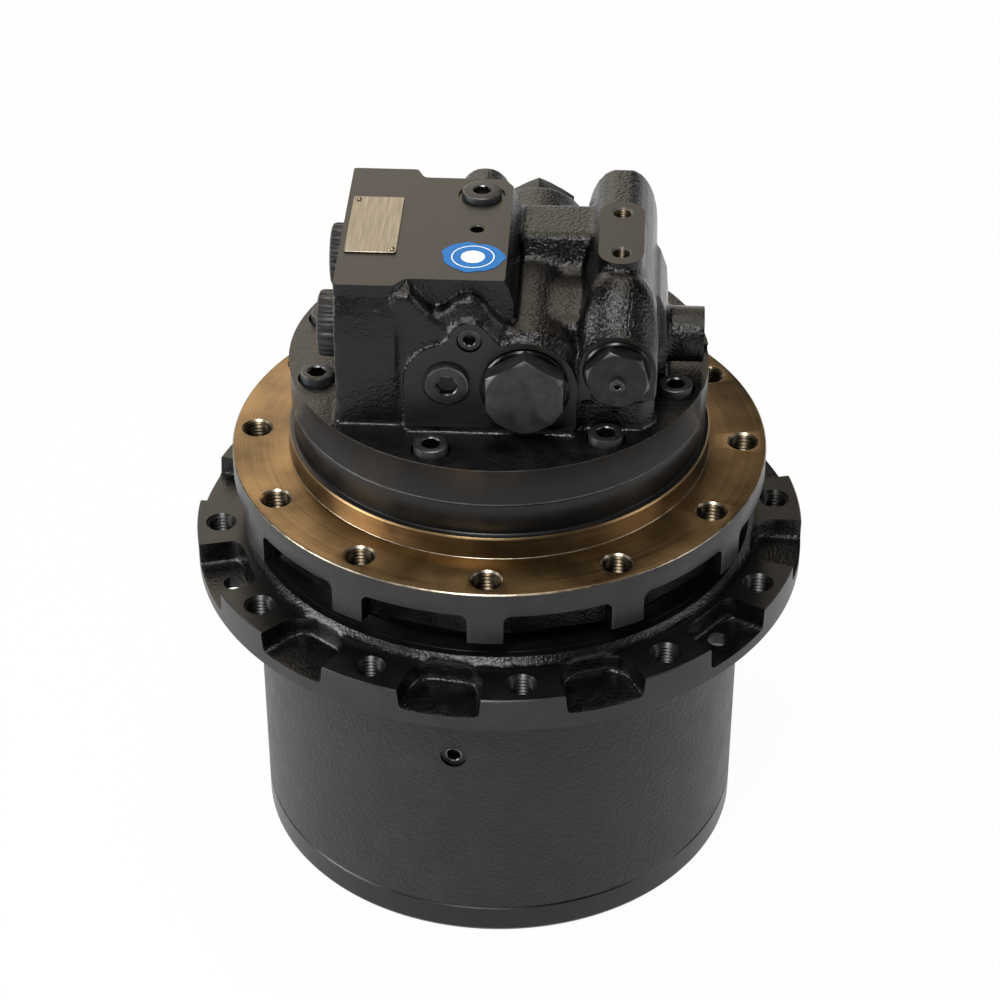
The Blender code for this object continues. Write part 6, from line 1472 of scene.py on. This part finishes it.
@dataclass
class Studio:
    """Floor, lamps, backdrop and camera."""

    aim_height: float = 150.0
    distance: float = 1456.0
    elevation: float = 36.34
    azimuth: float = -87.1
    lens: float = 101.2
    shift_x: float = 0.0006
    shift_y: float = 0.0525
    horizon: str = "#7a7a7a"
    ceiling: str = "#262524"
    floor_half: float = 4000.0
    floor_level: float = -0.2
    floor_white: float = 0.97
    lamp_aim: float = 200.0

    def build(self) -> None:
        """Build the studio."""
        self.make_world()
        self.make_floor()
        self.make_lamps()
        self.make_camera()
        bpy.context.scene.view_settings.view_transform = "Standard"

    def seen(self, tree: bpy.types.NodeTree) -> bpy.types.NodeSocket:
        """Tell the rays that show a surface from those that light by it.

        Args:
            tree: the node tree.

        Returns:
            A socket that is one for camera, glossy and transmission rays.
        """
        path = add_node(tree, "LightPath")
        first = add_node(tree, "Math", {0: path.outputs["Is Camera Ray"], 1: path.outputs["Is Glossy Ray"]},
                         operation="MAXIMUM")
        both = add_node(tree, "Math", {0: first.outputs[0], 1: path.outputs["Is Transmission Ray"]},
                        operation="MAXIMUM")
        return both.outputs[0]

    def make_world(self) -> None:
        """White behind the object; a dark ceiling over a pale horizon lights it and shines in it."""
        world = bpy.data.worlds.new("studio_world")
        world.use_nodes = True
        bpy.context.scene.world = world
        tree = world.node_tree
        tree.nodes.clear()
        ahead = add_node(tree, "TexCoord").outputs["Generated"]
        rise = add_node(tree, "SeparateXYZ", {0: ahead}).outputs["Z"]
        room = add_node(tree, "ValToRGB", {"Fac": rise}, {0.0: self.horizon, 0.3: self.ceiling})
        fill = add_node(tree, "Background", {"Color": room.outputs["Color"], "Strength": 1.0})
        white = add_node(tree, "Background", {"Color": (1, 1, 1, 1), "Strength": 1.0})
        path = add_node(tree, "LightPath")
        shown = add_node(tree, "Math", {0: path.outputs["Is Camera Ray"],
                                        1: path.outputs["Is Transmission Ray"]}, operation="MAXIMUM")
        low = add_node(tree, "MapRange", {"Value": rise, "From Min": 0.02, "From Max": 0.2, "To Min": 1.0,
                                          "To Max": 0.0})
        shine = add_node(tree, "Math", {0: path.outputs["Is Glossy Ray"], 1: low.outputs["Result"]},
                         operation="MULTIPLY")
        both = add_node(tree, "Math", {0: shown.outputs[0], 1: shine.outputs[0]}, operation="MAXIMUM")
        mix = add_node(tree, "MixShader", {0: both.outputs[0], 1: fill.outputs[0], 2: white.outputs[0]})
        add_node(tree, "OutputWorld", {"Surface": mix.outputs[0]})

    def make_floor(self) -> None:
        """A pale floor that goes white for the camera and keeps a soft shadow."""
        half = self.floor_half
        corners = [(x, y, self.floor_level) for x, y in ((-half, -half), (half, -half), (half, half),
                                                         (-half, half))]
        floor = solid("floor", corners, [[0, 1, 2, 3]], [])
        paper = bpy.data.materials.new("white_paper_floor")
        paper.use_nodes = True
        tree = paper.node_tree
        tree.nodes.clear()
        sheet = add_node(tree, "BsdfDiffuse", {"Color": linear("#e6e6e6")})
        white = add_node(tree, "Emission", {"Color": (1, 1, 1, 1), "Strength": 1.0})
        share = add_node(tree, "Math", {0: self.seen(tree), 1: self.floor_white}, operation="MULTIPLY")
        mix = add_node(tree, "MixShader", {0: share.outputs[0], 1: sheet.outputs[0], 2: white.outputs[0]})
        add_node(tree, "OutputMaterial", {"Surface": mix.outputs[0]})
        floor.data.materials.append(paper)

    def make_lamps(self) -> None:
        """Soft boxes behind, over, left, right and in front of the object."""
        boxes = (
            ("back", (-450, 1250, 1200), 1350, 11.0, "#fff2de"),
            ("overhead", (100, 100, 1700), 600, 9.0, "#fff5e6"),
            ("left", (-1400, -500, 650), 600, 20.0, "#ffffff"),
            ("right", (1350, -300, 750), 450, 4.0, "#ffffff"),
            ("front", (-250, -1300, 1900), 420, 31.0, "#ffffff"),
        )
        for name, place, size, power, colour in boxes:
            lamp = bpy.data.lights.new(name, "AREA")
            lamp.energy = power
            lamp.color = linear(colour)[:3]
            lamp.size = size * MM
            item = bpy.data.objects.new(name, lamp)
            item.location = Vector(place) * MM
            aim = Vector((0, 0, self.lamp_aim)) * MM - item.location
            item.rotation_euler = aim.to_track_quat("-Z", "Y").to_euler()
            bpy.context.scene.collection.objects.link(item)

    def make_camera(self) -> None:
        """Stand the camera where the photograph was taken."""
        up, around = math.radians(self.elevation), math.radians(self.azimuth)
        aim = Vector((0, 0, self.aim_height)) * MM
        offset = Vector((math.cos(up) * math.cos(around), math.cos(up) * math.sin(around), math.sin(up)))
        camera = bpy.data.cameras.new("camera")
        camera.lens = self.lens
        camera.sensor_width = 36.0
        camera.shift_x = self.shift_x
        camera.shift_y = self.shift_y
        camera.clip_end = 50
        item = bpy.data.objects.new("camera", camera)
        item.location = aim + offset * self.distance * MM
        item.rotation_euler = (-offset).to_track_quat("-Z", "Y").to_euler()
        bpy.context.scene.collection.objects.link(item)
        bpy.context.scene.camera = item


def main() -> None:
    """Build every sub-assembly in order."""
    logging.basicConfig(level=logging.INFO, format="%(name)s: %(message)s")
    dress_inner_parts()
    Studio().build()
    Hub().build()
    FrameSide().build()
    block = ValveBlock()
    block.build()
    BlockFittings(block).build()
    bpy.context.view_layer.update()


if __name__ == "__main__":
    main()
